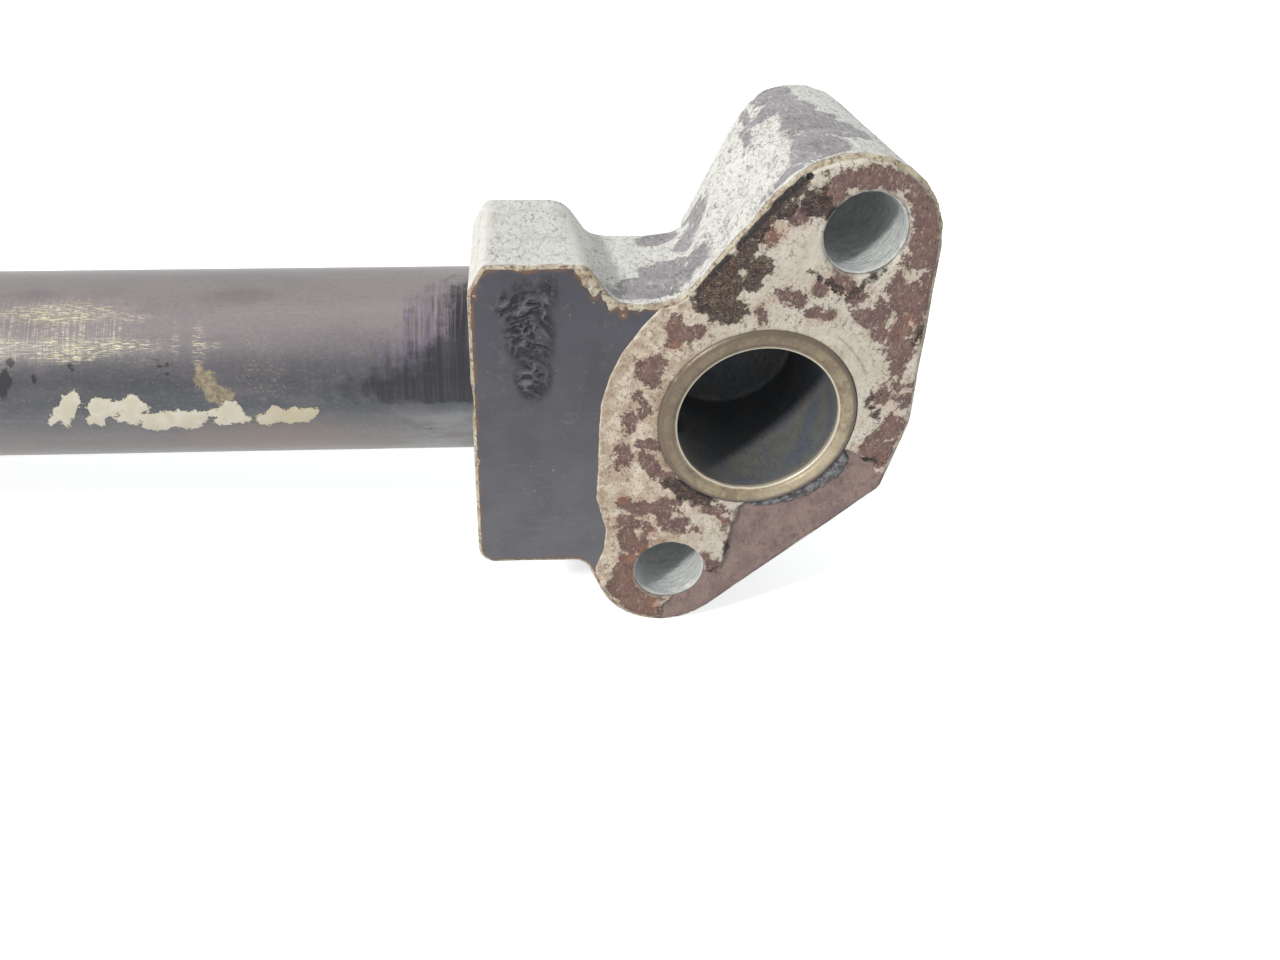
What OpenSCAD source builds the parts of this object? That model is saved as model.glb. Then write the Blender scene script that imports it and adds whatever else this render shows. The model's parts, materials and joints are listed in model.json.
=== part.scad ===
// Weathered steel tube with a thick bolted end block.
// Each piece is drawn in the block's own plane: x along the tube, y up the face,
// z out of the face, with 0 at the centre of the port. placed() stands it at rest.

/* [Tube] */
// Outside diameter of the tube
tube_od = 28.5; // [24:0.5:28.5]
// Wall thickness of the tube
tube_wall = 2; // [1:0.5:4]
// Length of tube that stands out of the block
tube_length = 300; // [200:10:600]
// Height of the tube's axis above the centre of the port
tube_rise = 3.6; // [0:0.1:5]
// Chamfer on the open end of the tube
tube_chamfer = 0.4; // [0:0.1:0.8]

/* [End block] */
// Thickness of the block behind its face
block_depth = 28.5; // [28.5:0.5:34]
// Distance from the port to the block's tube side
block_reach = 42.4; // [41:0.1:50]
// Height of the block's top edge
block_top = 24.5; // [24:0.1:27]
// Height of the block's bottom edge
block_bottom = -26.4; // [-28:0.1:-26]
// Height of the notch's floor
notch_floor = 18.7; // [18.5:0.1:20]
// Depth of the boss behind the upper ear, from the face
boss_depth = 39; // [36:0.5:45]
// Radius of the upper ear
upper_ear_r = 13.3; // [13:0.1:13.8]
// Radius of the lower ear
lower_ear_r = 11.4; // [11:0.1:12]

/* [Port and bolts] */
// Diameter of the port
port_d = 24; // [20:0.5:24]
// Distance between the two bolt holes
bolt_pitch = 61.5; // [61:0.1:62]
// Lean of the bolt line from upright
bolt_lean = 21.5; // [20:0.5:23]
// Diameter of the bolt holes
bolt_d = 11; // [9:0.5:11]

/* [Gasket] */
// Thickness of the gasket's remains
gasket_thick = 0.8; // [0.5:0.1:1.5]
// Step from the block's edge in to the gasket's edge
gasket_inset = 0.5; // [0.2:0.1:1]
// Outside diameter of the metal eyelet round the port
eyelet_od = 30; // [28:0.5:31]
// Height of the eyelet above the face
eyelet_height = 1.2; // [1:0.1:2]

/* [Hidden] */
$fn = 96;
arc_steps = 10;
cut = 1;
tube_r = tube_od / 2;
tube_bore_r = tube_r - tube_wall;
tube_axis_z = -block_depth / 2;
port_r = port_d / 2;
port_depth = block_depth / 2 + tube_bore_r;
bolt_at = bolt_pitch / 2 * [sin(bolt_lean), cos(bolt_lean)];
gasket_clearance = 0.4;
eyelet_round = 0.4;
upper_ear_at = [8.95, 25.95];
side_angle = -87.4;
right_side_at = [23.5, -1];
end_bevel = [2.3, 3.9];
notch_lip = -25.9;
notch_foot = -21.7;
boss_flank = 66;
lower_right = [21.1, -13.1];
lower_slope = 223.2;
ear_root = [-25.2, block_bottom];
ear_root_slope = -66.1;

function unit(v) = v / norm(v);

// Where the line through p at angle a crosses the line through q at angle b
function meet(p, a, q, b) =
    let (u = [cos(a), sin(a)], v = [cos(b), sin(b)], w = q - p)
    p + u * (w.x * v.y - w.y * v.x) / (u.x * v.y - u.y * v.x);

// Centre of the arc of radius r that rounds the corner at c, between p and n
function arc_centre(p, c, n, r) =
    let (u = unit(p - c), v = unit(n - c)) c + unit(u + v) * r / sin(acos(u * v) / 2);

// Points of that arc
function corner_arc(p, c, n, r) =
    let (u = unit(p - c), v = unit(n - c), half = acos(u * v) / 2,
         centre = arc_centre(p, c, n, r),
         from = c + u * r / tan(half) - centre,
         turn = 180 - 2 * half,
         side = sign(u.x * v.y - u.y * v.x))
    [for (i = [0 : arc_steps])
        let (a = atan2(from.y, from.x) - side * turn * i / arc_steps)
        centre + r * [cos(a), sin(a)]];

// The lowest line of the object runs from the tube's end to the lower ear
lower_ear_corner = meet(lower_right, lower_slope, ear_root, ear_root_slope);
lower_ear_at = arc_centre(lower_right, lower_ear_corner, ear_root, lower_ear_r);
tube_foot = [-block_reach - tube_length, tube_rise - tube_r];
foot_gap = lower_ear_at - tube_foot;
rest_tilt = atan2(-foot_gap.y, foot_gap.x) + asin(lower_ear_r / norm(foot_gap));

// A closed outline from corners given as [x, y, radius]
function rounded(corners) =
    let (n = len(corners), at = [for (c = corners) [c.x, c.y]])
    [for (i = [0 : n - 1]) each corner_arc(at[(i + n - 1) % n], at[i], at[(i + 1) % n], corners[i].z)];

// The angle of the line from p that just touches the circle of radius r about c
function touching(p, c, r) = let (d = c - p) atan2(d.y, d.x) + asin(r / norm(d));

// Corners of the block's section, clockwise from the top of its tube side
flank_foot = [-13.3, notch_floor];
ear_corner = meet(
    flank_foot, touching(flank_foot, upper_ear_at, upper_ear_r),
    upper_ear_at + [upper_ear_r, 0], side_angle);
block_corners = [
    [-block_reach, block_top - end_bevel.y, 2],
    [-block_reach + end_bevel.x, block_top, 1.2],
    [notch_lip, block_top, 3],
    [notch_foot, notch_floor, 3],
    [flank_foot.x, flank_foot.y, 7],
    [ear_corner.x, ear_corner.y, upper_ear_r],
    [right_side_at.x, right_side_at.y, 10],
    [lower_right.x, lower_right.y, 1.3],
    [lower_ear_corner.x, lower_ear_corner.y, lower_ear_r],
    [ear_root.x, ear_root.y, 3],
    [-block_reach, block_bottom, 2.8]];

// Corners round all of the section that goes on behind the block, as the boss:
// its steeper flank and its underside
boss_foot = [-9.3, upper_ear_at.y - upper_ear_r];
boss_top = boss_foot + 2 * block_top * [cos(boss_flank), sin(boss_flank)];
boss_corners = [
    [boss_foot.x, boss_foot.y, 3],
    [boss_top.x, boss_top.y, 0.1],
    [block_reach, boss_top.y, 0.1],
    [block_reach, boss_foot.y + 20, 0.1],
    [upper_ear_at.x + upper_ear_r + 1, boss_foot.y, upper_ear_r - 1]];

// Stands a piece at rest: its face towards -Y, the block on its lower ear, the tube's end on the floor
module placed() {
    rotate([0, -rest_tilt, 0]) rotate([90, 0, 0]) children();
}

module at_bolts() {
    for (s = [1, -1]) translate(s * bolt_at) children();
}

// A straight tube, cut square, butted against the block's tube side
module pipe() {
    color([0.33, 0.30, 0.31]) placed()
        translate([-block_reach, tube_rise, tube_axis_z]) rotate([0, -90, 0])
            rotate_extrude() polygon([
                [tube_bore_r, 0], [tube_r, 0],
                [tube_r, tube_length - tube_chamfer], [tube_r - tube_chamfer, tube_length],
                [tube_bore_r, tube_length]]);
}

// The block with its ears, notch and boss, drilled from the face and from the tube side
module end_block() {
    behind = boss_depth - block_depth + cut;
    color([0.62, 0.58, 0.53]) placed() difference() {
        translate([0, 0, -boss_depth]) linear_extrude(boss_depth) polygon(rounded(block_corners));
        translate([0, 0, -boss_depth - cut]) difference() {
            translate([-2 * block_reach, -2 * block_reach, 0]) cube([4 * block_reach, 4 * block_reach, behind]);
            translate([0, 0, -cut]) linear_extrude(behind + 2 * cut) polygon(rounded(boss_corners));
        }
        translate([0, 0, -port_depth]) cylinder(r = port_r, h = port_depth + cut);
        translate([-block_reach - cut, tube_rise, tube_axis_z]) rotate([0, 90, 0])
            cylinder(r = tube_bore_r, h = block_reach + cut);
        at_bolts() translate([0, 0, -boss_depth - cut]) cylinder(d = bolt_d, h = boss_depth + 2 * cut);
    }
}

// What is left of the flat gasket: its lower right part has gone
module gasket() {
    beyond = block_reach;
    worn_left = rounded([
        [-15.6, 18.4, 1], [-15.6, beyond, 1], [beyond, beyond, 1], [beyond, -beyond, 1], [-26, -beyond, 1],
        [-22, -22.5, 6], [-25, -4.5, 26]]);
    missing = [
        [-1.3, -15], [-1.3, -21.5], [-3.4, -27.2], [-6.6, -29.4], [-11.2, -34], [-11.7, -beyond],
        [beyond, -beyond], [beyond, -11.5], [19.8, -9.9], [13.4, -6.2], [5, -8]];
    color([0.74, 0.69, 0.60]) placed() difference() {
        linear_extrude(gasket_thick) difference() {
            intersection() {
                offset(delta = -gasket_inset) polygon(rounded(block_corners));
                polygon(worn_left);
            }
            polygon(missing);
        }
        translate([0, 0, -cut]) cylinder(d = eyelet_od, h = gasket_thick + 2 * cut);
        at_bolts() translate([0, 0, -cut])
            cylinder(d = bolt_d + gasket_clearance, h = gasket_thick + 2 * cut);
    }
}

// The rolled metal lip that lined the gasket's port hole, with a flat land on its top
module gasket_eyelet() {
    outer_r = eyelet_od / 2;
    color([0.66, 0.60, 0.46]) placed() rotate_extrude() polygon([
        [port_r, 0], [outer_r, 0], [outer_r, eyelet_height - 2 * eyelet_round],
        [outer_r - eyelet_round, eyelet_height], [port_r + eyelet_round, eyelet_height],
        [port_r, eyelet_height - eyelet_round]]);
}

pipe();
end_block();
gasket();
gasket_eyelet();
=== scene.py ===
"""Looks of the corroded pipe with its bolted end block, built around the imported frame.

Shapes are worked out in the block's own plane, in millimetres: x to the right along the
tube, y up the face and z out of the face, with 0 at the centre of the port. to_row() stands
them at rest in the row frame, in metres.
"""

import itertools
import json
import math

import bmesh
import bpy
import numpy as np
from bpy.props import FloatProperty, FloatVectorProperty, IntProperty, PointerProperty
from mathutils import Matrix, Vector


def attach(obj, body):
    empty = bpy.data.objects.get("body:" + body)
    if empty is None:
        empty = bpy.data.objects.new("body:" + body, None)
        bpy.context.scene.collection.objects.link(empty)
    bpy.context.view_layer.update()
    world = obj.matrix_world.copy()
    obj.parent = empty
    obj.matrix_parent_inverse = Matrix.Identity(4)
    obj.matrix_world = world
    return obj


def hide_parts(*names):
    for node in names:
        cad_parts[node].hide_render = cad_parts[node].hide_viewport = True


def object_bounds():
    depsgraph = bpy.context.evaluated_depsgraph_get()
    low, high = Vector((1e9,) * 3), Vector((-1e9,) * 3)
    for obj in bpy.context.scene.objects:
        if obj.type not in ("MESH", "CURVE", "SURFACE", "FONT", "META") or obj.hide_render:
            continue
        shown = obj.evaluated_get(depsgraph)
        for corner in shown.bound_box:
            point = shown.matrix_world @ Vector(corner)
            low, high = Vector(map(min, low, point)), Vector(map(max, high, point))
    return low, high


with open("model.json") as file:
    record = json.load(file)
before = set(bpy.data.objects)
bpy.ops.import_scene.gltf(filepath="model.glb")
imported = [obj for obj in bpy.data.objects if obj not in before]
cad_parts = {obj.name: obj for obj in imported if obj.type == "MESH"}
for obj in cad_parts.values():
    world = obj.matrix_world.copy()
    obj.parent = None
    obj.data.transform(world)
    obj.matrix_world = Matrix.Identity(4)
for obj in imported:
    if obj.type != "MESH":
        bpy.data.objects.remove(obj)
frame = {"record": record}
CAD_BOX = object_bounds()

bl_info = {
    "name": "Corroded pipe with end block",
    "version": (1, 0, 0),
    "blender": (4, 5, 0),
    "location": "3D View > Sidebar > Pipe",
    "description": "Builds the weathered tube, its end block and what is left of the gasket",
    "category": "Object",
}

MM = 0.001
MOUNTS = {mount["name"]: mount for mount in frame["record"]["mounts"]}
TUBE_AXIS = MOUNTS["tube_bore"]["axis"]
REST_TILT = math.atan2(-TUBE_AXIS[2], -TUBE_AXIS[0])
PORT_R = MOUNTS["port"]["dims"]["r_mm"]
BORE_R = MOUNTS["tube_bore"]["dims"]["r_mm"]
TUBE_R = MOUNTS["tube_end_outside"]["dims"]["r_mm"]
BOLT_R = MOUNTS["bolts"]["dims"]["hole_r_mm"]
FLOOR_Z = CAD_BOX[0].z

# Sizes shared with the block's construction, in millimetres
TUBE_SIDE = -42.4
TUBE_LENGTH = 300.0
TUBE_RISE = 3.6
TUBE_Z = -14.25
PORT_DEPTH = 26.5
BLOCK_DEPTH = 28.5
BOSS_DEPTH = 39.0
BOLT_AT = (11.27, 28.61)
BOSS_UNDERSIDE = 12.65
BOSS_FOOT = -9.3
BOSS_FLANK = 66.0
EYELET_R = 15.0
BLOCK_TOP = 24.5
BEVEL_FOOT = (2.3, 20.6)
NOTCH_RUN = 4.2
RIGHT_SIDE = (23.5, -1.0)
UPPER_EAR = (8.95, 25.95)
UPPER_EAR_R = 13.3
LOWER_EAR_R = 11.4
SIDE_ANGLE = -87.4
LOWER_RIGHT = (21.1, -13.1)
LOWER_SLOPE = 223.2
EAR_ROOT = (-25.2, -26.4)
EAR_ROOT_SLOPE = -66.1


# ---------------------------------------------------------------- plain geometry

# What a mark says far from any of its places, how far a kept mark reaches, how many points are
# measured at once, the slope that a field is taken to have at least, and the depth to which the
# thin layers reach into the block
FAR_OUTSIDE = -9.0
MARK_REACH = 3.0
AT_ONCE = 20000
LEAST_SLOPE = 0.3
ROOTED = 0.25


def to_row(points):
    """Block plane in millimetres to the row frame in metres."""
    p = np.asarray(points, float)
    c, s = math.cos(REST_TILT), math.sin(REST_TILT)
    return np.stack([p[:, 0] * c - p[:, 1] * s, -p[:, 2], p[:, 0] * s + p[:, 1] * c], 1) * MM


def meet(p, a, q, b):
    """Where the line through p at angle a crosses the line through q at angle b, in degrees."""
    u = np.array([math.cos(math.radians(a)), math.sin(math.radians(a))])
    v = np.array([math.cos(math.radians(b)), math.sin(math.radians(b))])
    w = np.subtract(q, p)
    return np.add(p, u * (w[0] * v[1] - w[1] * v[0]) / (u[0] * v[1] - u[1] * v[0]))


def block_outline(notch, foot, foot_r, ear, ear_r):
    """The block's outline, as corners with their radii, round a notch, a flank foot and an upper ear."""
    dx, dy = ear[0] - foot[0], ear[1] - foot[1]
    flank = math.degrees(math.atan2(dy, dx) + math.asin(ear_r / math.hypot(dx, dy)))
    ear_corner = meet(foot, flank, (ear[0] + ear_r, ear[1]), SIDE_ANGLE)
    low_corner = meet(LOWER_RIGHT, LOWER_SLOPE, EAR_ROOT, EAR_ROOT_SLOPE)
    return rounded([
        (TUBE_SIDE, BEVEL_FOOT[1], 2.0), (TUBE_SIDE + BEVEL_FOOT[0], BLOCK_TOP, 1.2),
        (notch[0] - NOTCH_RUN, BLOCK_TOP, 3.0), (*notch, 3.0), (*foot, foot_r), (*ear_corner, ear_r),
        (*RIGHT_SIDE, 10.0), (*LOWER_RIGHT, 1.3), (*low_corner, LOWER_EAR_R),
        (*EAR_ROOT, 3.0), (TUBE_SIDE, EAR_ROOT[1], 2.8),
    ])


def rounded(corners, steps=10):
    """A closed outline, with an arc of the given radius at each corner."""
    at = np.array([c[:2] for c in corners], float)
    out = []
    for i, (x, y, r) in enumerate(corners):
        u = at[i - 1] - at[i]
        v = at[(i + 1) % len(at)] - at[i]
        u, v = u / np.linalg.norm(u), v / np.linalg.norm(v)
        half = math.acos(np.clip(u @ v, -1, 1)) / 2
        centre = at[i] + (u + v) / np.linalg.norm(u + v) * r / math.sin(half)
        start = at[i] + u * r / math.tan(half) - centre
        turn = (math.pi - 2 * half) * np.sign(u[0] * v[1] - u[1] * v[0])
        first = math.atan2(start[1], start[0])
        for k in range(steps + 1):
            a = first - turn * k / steps
            out.append(centre + r * np.array([math.cos(a), math.sin(a)]))
    return np.array(out)


def outline_distance(points, outline):
    """Distance in the plane from each point to a closed outline, negative inside."""
    points, a = points[:, :2], np.asarray(outline, float)
    out = np.empty(len(points))
    b = np.roll(a, -1, axis=0)
    d = b - a
    length2 = np.maximum((d ** 2).sum(1), 1e-12)
    for lo in range(0, len(points), AT_ONCE):
        p = points[lo:lo + AT_ONCE, None, :]
        t = np.clip(((p - a) * d).sum(2) / length2, 0, 1)
        near = np.sqrt((((a + t[..., None] * d) - p) ** 2).sum(2)).min(1)
        crosses = (a[:, 1] > p[..., 1]) != (b[:, 1] > p[..., 1])
        with np.errstate(divide="ignore", invalid="ignore"):
            at_x = a[:, 0] + (p[..., 1] - a[:, 1]) * d[:, 0] / d[:, 1]
        inside = (crosses & (p[..., 0] < at_x)).sum(1) % 2 == 1
        out[lo:lo + AT_ONCE] = np.where(inside, -near, near)
    return out


class Chart:
    """Values on a flat grid in millimetres, read smoothly at any point."""

    def __init__(self, low, high, step, function):
        self.low, self.step = np.array(low, float), step
        n = (np.ceil((np.array(high) - low) / step)).astype(int) + 1
        x, y = np.meshgrid(*(low[k] + np.arange(n[k]) * step for k in range(2)), indexing="ij")
        self.values = function(np.stack([x.ravel(), y.ravel()], 1)).reshape(n)

    def at(self, points):
        """The values at the points, each blended from the four round it."""
        p = (points[:, :2] - self.low) / self.step
        p = np.clip(p, 0, np.array(self.values.shape) - 1.001)
        i = p.astype(int)
        f = p - i
        v = self.values
        x, y = i[:, 0], i[:, 1]
        return (
            v[x, y] * (1 - f[:, 0]) * (1 - f[:, 1]) + v[x + 1, y] * f[:, 0] * (1 - f[:, 1])
            + v[x, y + 1] * (1 - f[:, 0]) * f[:, 1] + v[x + 1, y + 1] * f[:, 0] * f[:, 1]
        )


def lumps(points, size, seed):
    """Smooth random heights from -1 to 1, about size apart. size may be one number or one per axis."""
    table = np.random.RandomState(seed).rand(32, 32, 32) * 2 - 1
    p = np.asarray(points, float) / size + 160
    i = np.floor(p).astype(int)
    f = p - i
    f = f * f * (3 - 2 * f)
    out = np.zeros(len(p))
    for corner in itertools.product((0, 1), repeat=3):
        weight = np.prod(np.where(corner, f, 1 - f), axis=1)
        j = (i + corner) % 32
        out += weight * table[j[:, 0], j[:, 1], j[:, 2]]
    return out


def rough(points, size, seed, layers=3):
    """Several layers of lumps, each half as large and half as high."""
    return sum(lumps(points, np.asarray(size) / 2 ** k, seed + k) / 2 ** k for k in range(layers))


def spots(points, ellipses):
    """Millimetres inside the nearest of some ellipses given as x, y, half width, half height and lean."""
    out = np.full(len(points), FAR_OUTSIDE)
    for x, y, rx, ry, *lean in ellipses:
        a = math.radians(lean[0]) if lean else 0.0
        dx, dy = points[:, 0] - x, points[:, 1] - y
        u = dx * math.cos(a) + dy * math.sin(a)
        v = dy * math.cos(a) - dx * math.sin(a)
        out = np.maximum(out, (1 - np.hypot(u / rx, v / ry)) * min(rx, ry))
    return out


def near(values):
    """Marks cut off where they no longer matter."""
    return np.clip(values, -MARK_REACH, MARK_REACH)


def strokes(points, lines):
    """Millimetres inside the nearest of some strokes given as x, y, x, y and half width."""
    out = np.full(len(points), FAR_OUTSIDE)
    for x0, y0, x1, y1, r in lines:
        d = np.array([x1 - x0, y1 - y0])
        w = points[:, :2] - (x0, y0)
        t = np.clip(w @ d / max(d @ d, 1e-9), 0, 1)
        out = np.maximum(out, r - np.linalg.norm(w - t[:, None] * d, axis=1))
    return out


def cap(a, b, r):
    """Where two solids overlap, with the edge between them rounded to radius r."""
    u, v = np.maximum(a + r, 0), np.maximum(b + r, 0)
    return np.minimum(-r, np.maximum(a, b)) + np.hypot(u, v)


def join(a, b, r):
    """Two solids together, with a fillet of radius r between them."""
    u, v = np.maximum(r - a, 0), np.maximum(r - b, 0)
    return np.maximum(r, np.minimum(a, b)) - np.hypot(u, v)


def skin(field, low, high, step):
    """Vertices and closed quads over the zero of a field, one vertex in each cell it crosses."""
    low = np.array(low, float)
    n = np.ceil((np.array(high) - low) / step).astype(int) + 1
    axes = [low[k] + np.arange(n[k]) * step for k in range(3)]
    f = np.empty(n)
    for k, z in enumerate(axes[2]):
        x, y = np.meshgrid(axes[0], axes[1], indexing="ij")
        f[:, :, k] = field(np.stack([x.ravel(), y.ravel(), np.full(x.size, z)], 1)).reshape(x.shape)
    inside = f < 0

    def corner(a, dx, dy, dz):
        return a[dx:n[0] - 1 + dx, dy:n[1] - 1 + dy, dz:n[2] - 1 + dz]

    corners = list(itertools.product((0, 1), repeat=3))
    count = sum(corner(inside, *c).astype(int) for c in corners)
    mixed = (count > 0) & (count < 8)
    index = np.full(mixed.shape, -1)
    index[mixed] = np.arange(mixed.sum())
    total, hits = np.zeros((mixed.sum(), 3)), np.zeros(mixed.sum())
    for a, b in itertools.combinations(corners, 2):
        if sum(abs(p - q) for p, q in zip(a, b)) != 1:
            continue
        fa, fb = corner(f, *a)[mixed], corner(f, *b)[mixed]
        crossed = (fa < 0) != (fb < 0)
        t = np.where(crossed, fa / np.where(crossed, fa - fb, 1), 0)
        total += np.where(crossed[:, None], np.array(a) + t[:, None] * np.subtract(b, a), 0)
        hits += crossed
    cell = np.stack(np.nonzero(mixed), 1)
    vertices = low + (cell + total / hits[:, None]) * step
    faces = []
    for axis in range(3):
        u, v = [k for k in range(3) if k != axis]
        one = [slice(1, -1)] * 3
        one[axis] = slice(0, -1)
        two = list(one)
        two[axis] = slice(1, None)
        first, second = inside[tuple(one)], inside[tuple(two)]
        where = np.stack(np.nonzero(first != second), 1)
        enters = second[tuple(where.T)]
        base = where.copy()
        base[:, u] += 1
        base[:, v] += 1
        quad = []
        for du, dv in ((-1, -1), (0, -1), (0, 0), (-1, 0)):
            at = base.copy()
            at[:, u] += du
            at[:, v] += dv
            quad.append(index[tuple(at.T)])
        quad = np.stack(quad, 1)
        flip = enters if axis != 1 else ~enters
        faces.append(np.where(flip[:, None], quad[:, ::-1], quad))
    return vertices, np.concatenate(faces)


def edges_of(faces):
    """Each edge once, as two vertex numbers."""
    loops = np.concatenate([faces[:, [k, (k + 1) % faces.shape[1]]] for k in range(faces.shape[1])])
    return np.unique(np.sort(loops, axis=1), axis=0)


def relax(vertices, edges, weight):
    """Moves each vertex part of the way to the middle of its neighbours."""
    total, count = np.zeros_like(vertices), np.zeros(len(vertices))
    for a, b in ((0, 1), (1, 0)):
        np.add.at(total, edges[:, a], vertices[edges[:, b]])
        np.add.at(count, edges[:, a], 1)
    return vertices + weight * (total / np.maximum(count, 1)[:, None] - vertices)


def settle(vertices, field, rounds=3):
    """Brings vertices onto the zero of a field."""
    for _ in range(rounds):
        f = field(vertices)
        g = slopes(vertices, field, f)
        move = f[:, None] * g / np.maximum((g ** 2).sum(1), LEAST_SLOPE)[:, None]
        vertices = vertices - np.clip(move, -0.4, 0.4)
    return vertices


def slopes(vertices, field, f=None):
    """Which way, and how fast, a field grows at each vertex."""
    step = 0.05
    f = field(vertices) if f is None else f
    return np.stack([(field(vertices + step * np.eye(3)[k]) - f) / step for k in range(3)], 1)


def make_piece(name, vertices, faces, material, marks, cad_nodes):
    """A finished piece from points in the block's plane, with its marks kept as attributes."""
    mesh = bpy.data.meshes.new(name)
    mesh.from_pydata(to_row(vertices).tolist(), [], faces if isinstance(faces, list) else faces.tolist())
    for mark, values in marks.items():
        layer = mesh.attributes.new(mark, "FLOAT", "POINT")
        layer.data.foreach_set("value", np.asarray(values, np.float32))
    piece = loose_object(name, mesh)
    finish_piece(piece, material, cad_nodes)
    return piece


def loose_object(name, data):
    """A new object in the scene, not yet a piece."""
    made = bpy.data.objects.new(name, data)
    bpy.context.scene.collection.objects.link(made)
    return made


def finish_piece(piece, material, cad_nodes):
    """Turns a piece's faces outwards, gives it its material, and says what it rides on and replaces."""
    bm = bmesh.new()
    bm.from_mesh(piece.data)
    bmesh.ops.recalc_face_normals(bm, faces=bm.faces)
    bm.to_mesh(piece.data)
    bm.free()
    piece.data.shade_smooth()
    piece.data.materials.clear()
    piece.data.materials.append(material)
    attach(piece, "root")
    if cad_nodes:
        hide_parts(*cad_nodes)


# ---------------------------------------------------------------- the end block

# The casting's draft carries the notch and the ear a little to the side from face to boss back
FACE_OUTLINE = block_outline((-21.7, 18.7), (-13.3, 18.7), 7.0, UPPER_EAR, UPPER_EAR_R)
BACK_OUTLINE = block_outline((-24.4, 18.5), (-8.1, 18.2), 4.5, (9.1, 26.1), 13.0)

# Lowest and highest corners of what is worked out: the flat charts and the casting, in millimetres
CHART_SPAN = ((-46, -44), (28, 44))
CHART_STEP = 0.25
CAST_SPAN = ((-44.6, -42.2, -41.3), (25.4, 41.6, 1.9))

# Corners of the outline that are worn bright
WORN_CORNERS = [(-41.9, 21.3), (-40.4, 24.2), (-26.6, 24.3), (21, -13.1), (-41.8, -25.8)]


EAR_MM_PER_DEGREE = 0.232
# Stains round the ear, as millimetres round it and out of the face, half sizes and lean
EAR_STAINS = [
    (-4, -5, 4, 4.2), (-4.4, -9, 2.6, 3.4), (-1.8, -13.5, 4.6, 3.6), (-2.4, -19, 3.8, 4),
    (-2.6, -24.5, 2.8, 4.2), (-6.4, -27.6, 4.2, 2.6), (-4, -30, 3.2, 2.4), (-4, -35, 3.2, 3.4),
    (-11, -25, 0.6, 4), (-9.6, -33, 0.7, 4), (0.6, -8.6, 1.2, 1), (-10.4, -2.2, 3, 1.2), (3, -11, 1.2, 3),
    (8.4, -9, 0.8, 8), (13, -16, 1, 12), (11, -30, 1.6, 6),
]
# Stains on the rest of the top, as millimetres along and out of the face, half sizes and lean
TOP_STAINS = [
    (-8.6, -20.5, 1.6, 4.6, 20), (-7.4, -27, 1.2, 3.2), (-15.4, -6.4, 5.4, 4), (-14, -11.5, 3.6, 3),
    (-19.6, -3.4, 3.4, 1.6), (-13, -25, 3.2, 2.6), (-9.6, -8, 1.2, 3.6),
]


def from_port(p):
    return np.hypot(p[:, 0], p[:, 1])


def from_bolt(p):
    """How far each point lies from the middle of the nearer bolt hole."""
    return np.minimum(*[np.hypot(p[:, 0] - s * BOLT_AT[0], p[:, 1] - s * BOLT_AT[1]) for s in (1, -1)])


class BlockShape:
    """The block as a field: how far a point in millimetres lies outside its surface."""

    def __init__(self, edge_round):
        self.face = Chart(*CHART_SPAN, CHART_STEP, lambda p: outline_distance(p, FACE_OUTLINE))
        self.back = Chart(*CHART_SPAN, CHART_STEP, lambda p: outline_distance(p, BACK_OUTLINE))
        self.edge_round = edge_round

    def side(self, p):
        """How far a point lies outside the outline at its own depth."""
        depth = np.clip(-p[:, 2] / BOSS_DEPTH, 0, 1)
        return self.face.at(p) * (1 - depth) + self.back.at(p) * depth

    def beside_boss(self, p):
        """How far a point lies to the left of the boss's flank."""
        slope = math.radians(BOSS_FLANK)
        return math.cos(slope) * (p[:, 1] - BOSS_UNDERSIDE) - math.sin(slope) * (p[:, 0] - BOSS_FOOT)

    def plain(self, p):
        """The block as it was cast and drilled."""
        x, y, z = p.T
        side = self.side(p)
        edge = np.clip(self.edge_round * (1 + 0.3 * lumps(p, 5.0, 31)), 0.25, 0.9)
        block = cap(cap(side, z, edge), -BLOCK_DEPTH - z, 1.2)
        boss = cap(cap(cap(side, self.beside_boss(p), 3.0), BOSS_UNDERSIDE - y, 6.0), -BOSS_DEPTH - z, 1.0)
        boss = cap(boss, z + BLOCK_DEPTH / 2, 0.5)
        solid = np.maximum(join(block, boss, 2.0), side)
        port = np.maximum(from_port(p) - PORT_R, -PORT_DEPTH - z)
        passage = np.maximum(np.hypot(y - TUBE_RISE, z - TUBE_Z) - BORE_R, x)
        solid = cap(solid, -port, 0.3)
        solid = cap(solid, -passage, 0.4)
        for sign in (1, -1):
            hole = BOLT_R - np.hypot(x - sign * BOLT_AT[0], y - sign * BOLT_AT[1])
            solid = cap(solid, hole, 0.45)
        return solid

    def relief(self, p):
        """How far the weathered surface stands out from the plain one: never above it."""
        front = np.clip((p[:, 2] + 1.2) / 0.6, 0, 1)
        cast = 0.045 * rough(p, 6.5, 41) + 0.02 * lumps(p, 1.3, 44) - 0.09
        face = 0.015 * lumps(p, 6.0, 61) - 0.02
        rim = np.minimum(np.abs(from_bolt(p) - BOLT_R), np.abs(from_port(p) - PORT_R))
        holes = np.clip(1.5 - rim, 0, 1)
        return (cast * (1 - front) + face * front) * (1 - 0.6 * holes)

    def worn(self, p):
        return self.plain(p) - self.relief(p)


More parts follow.
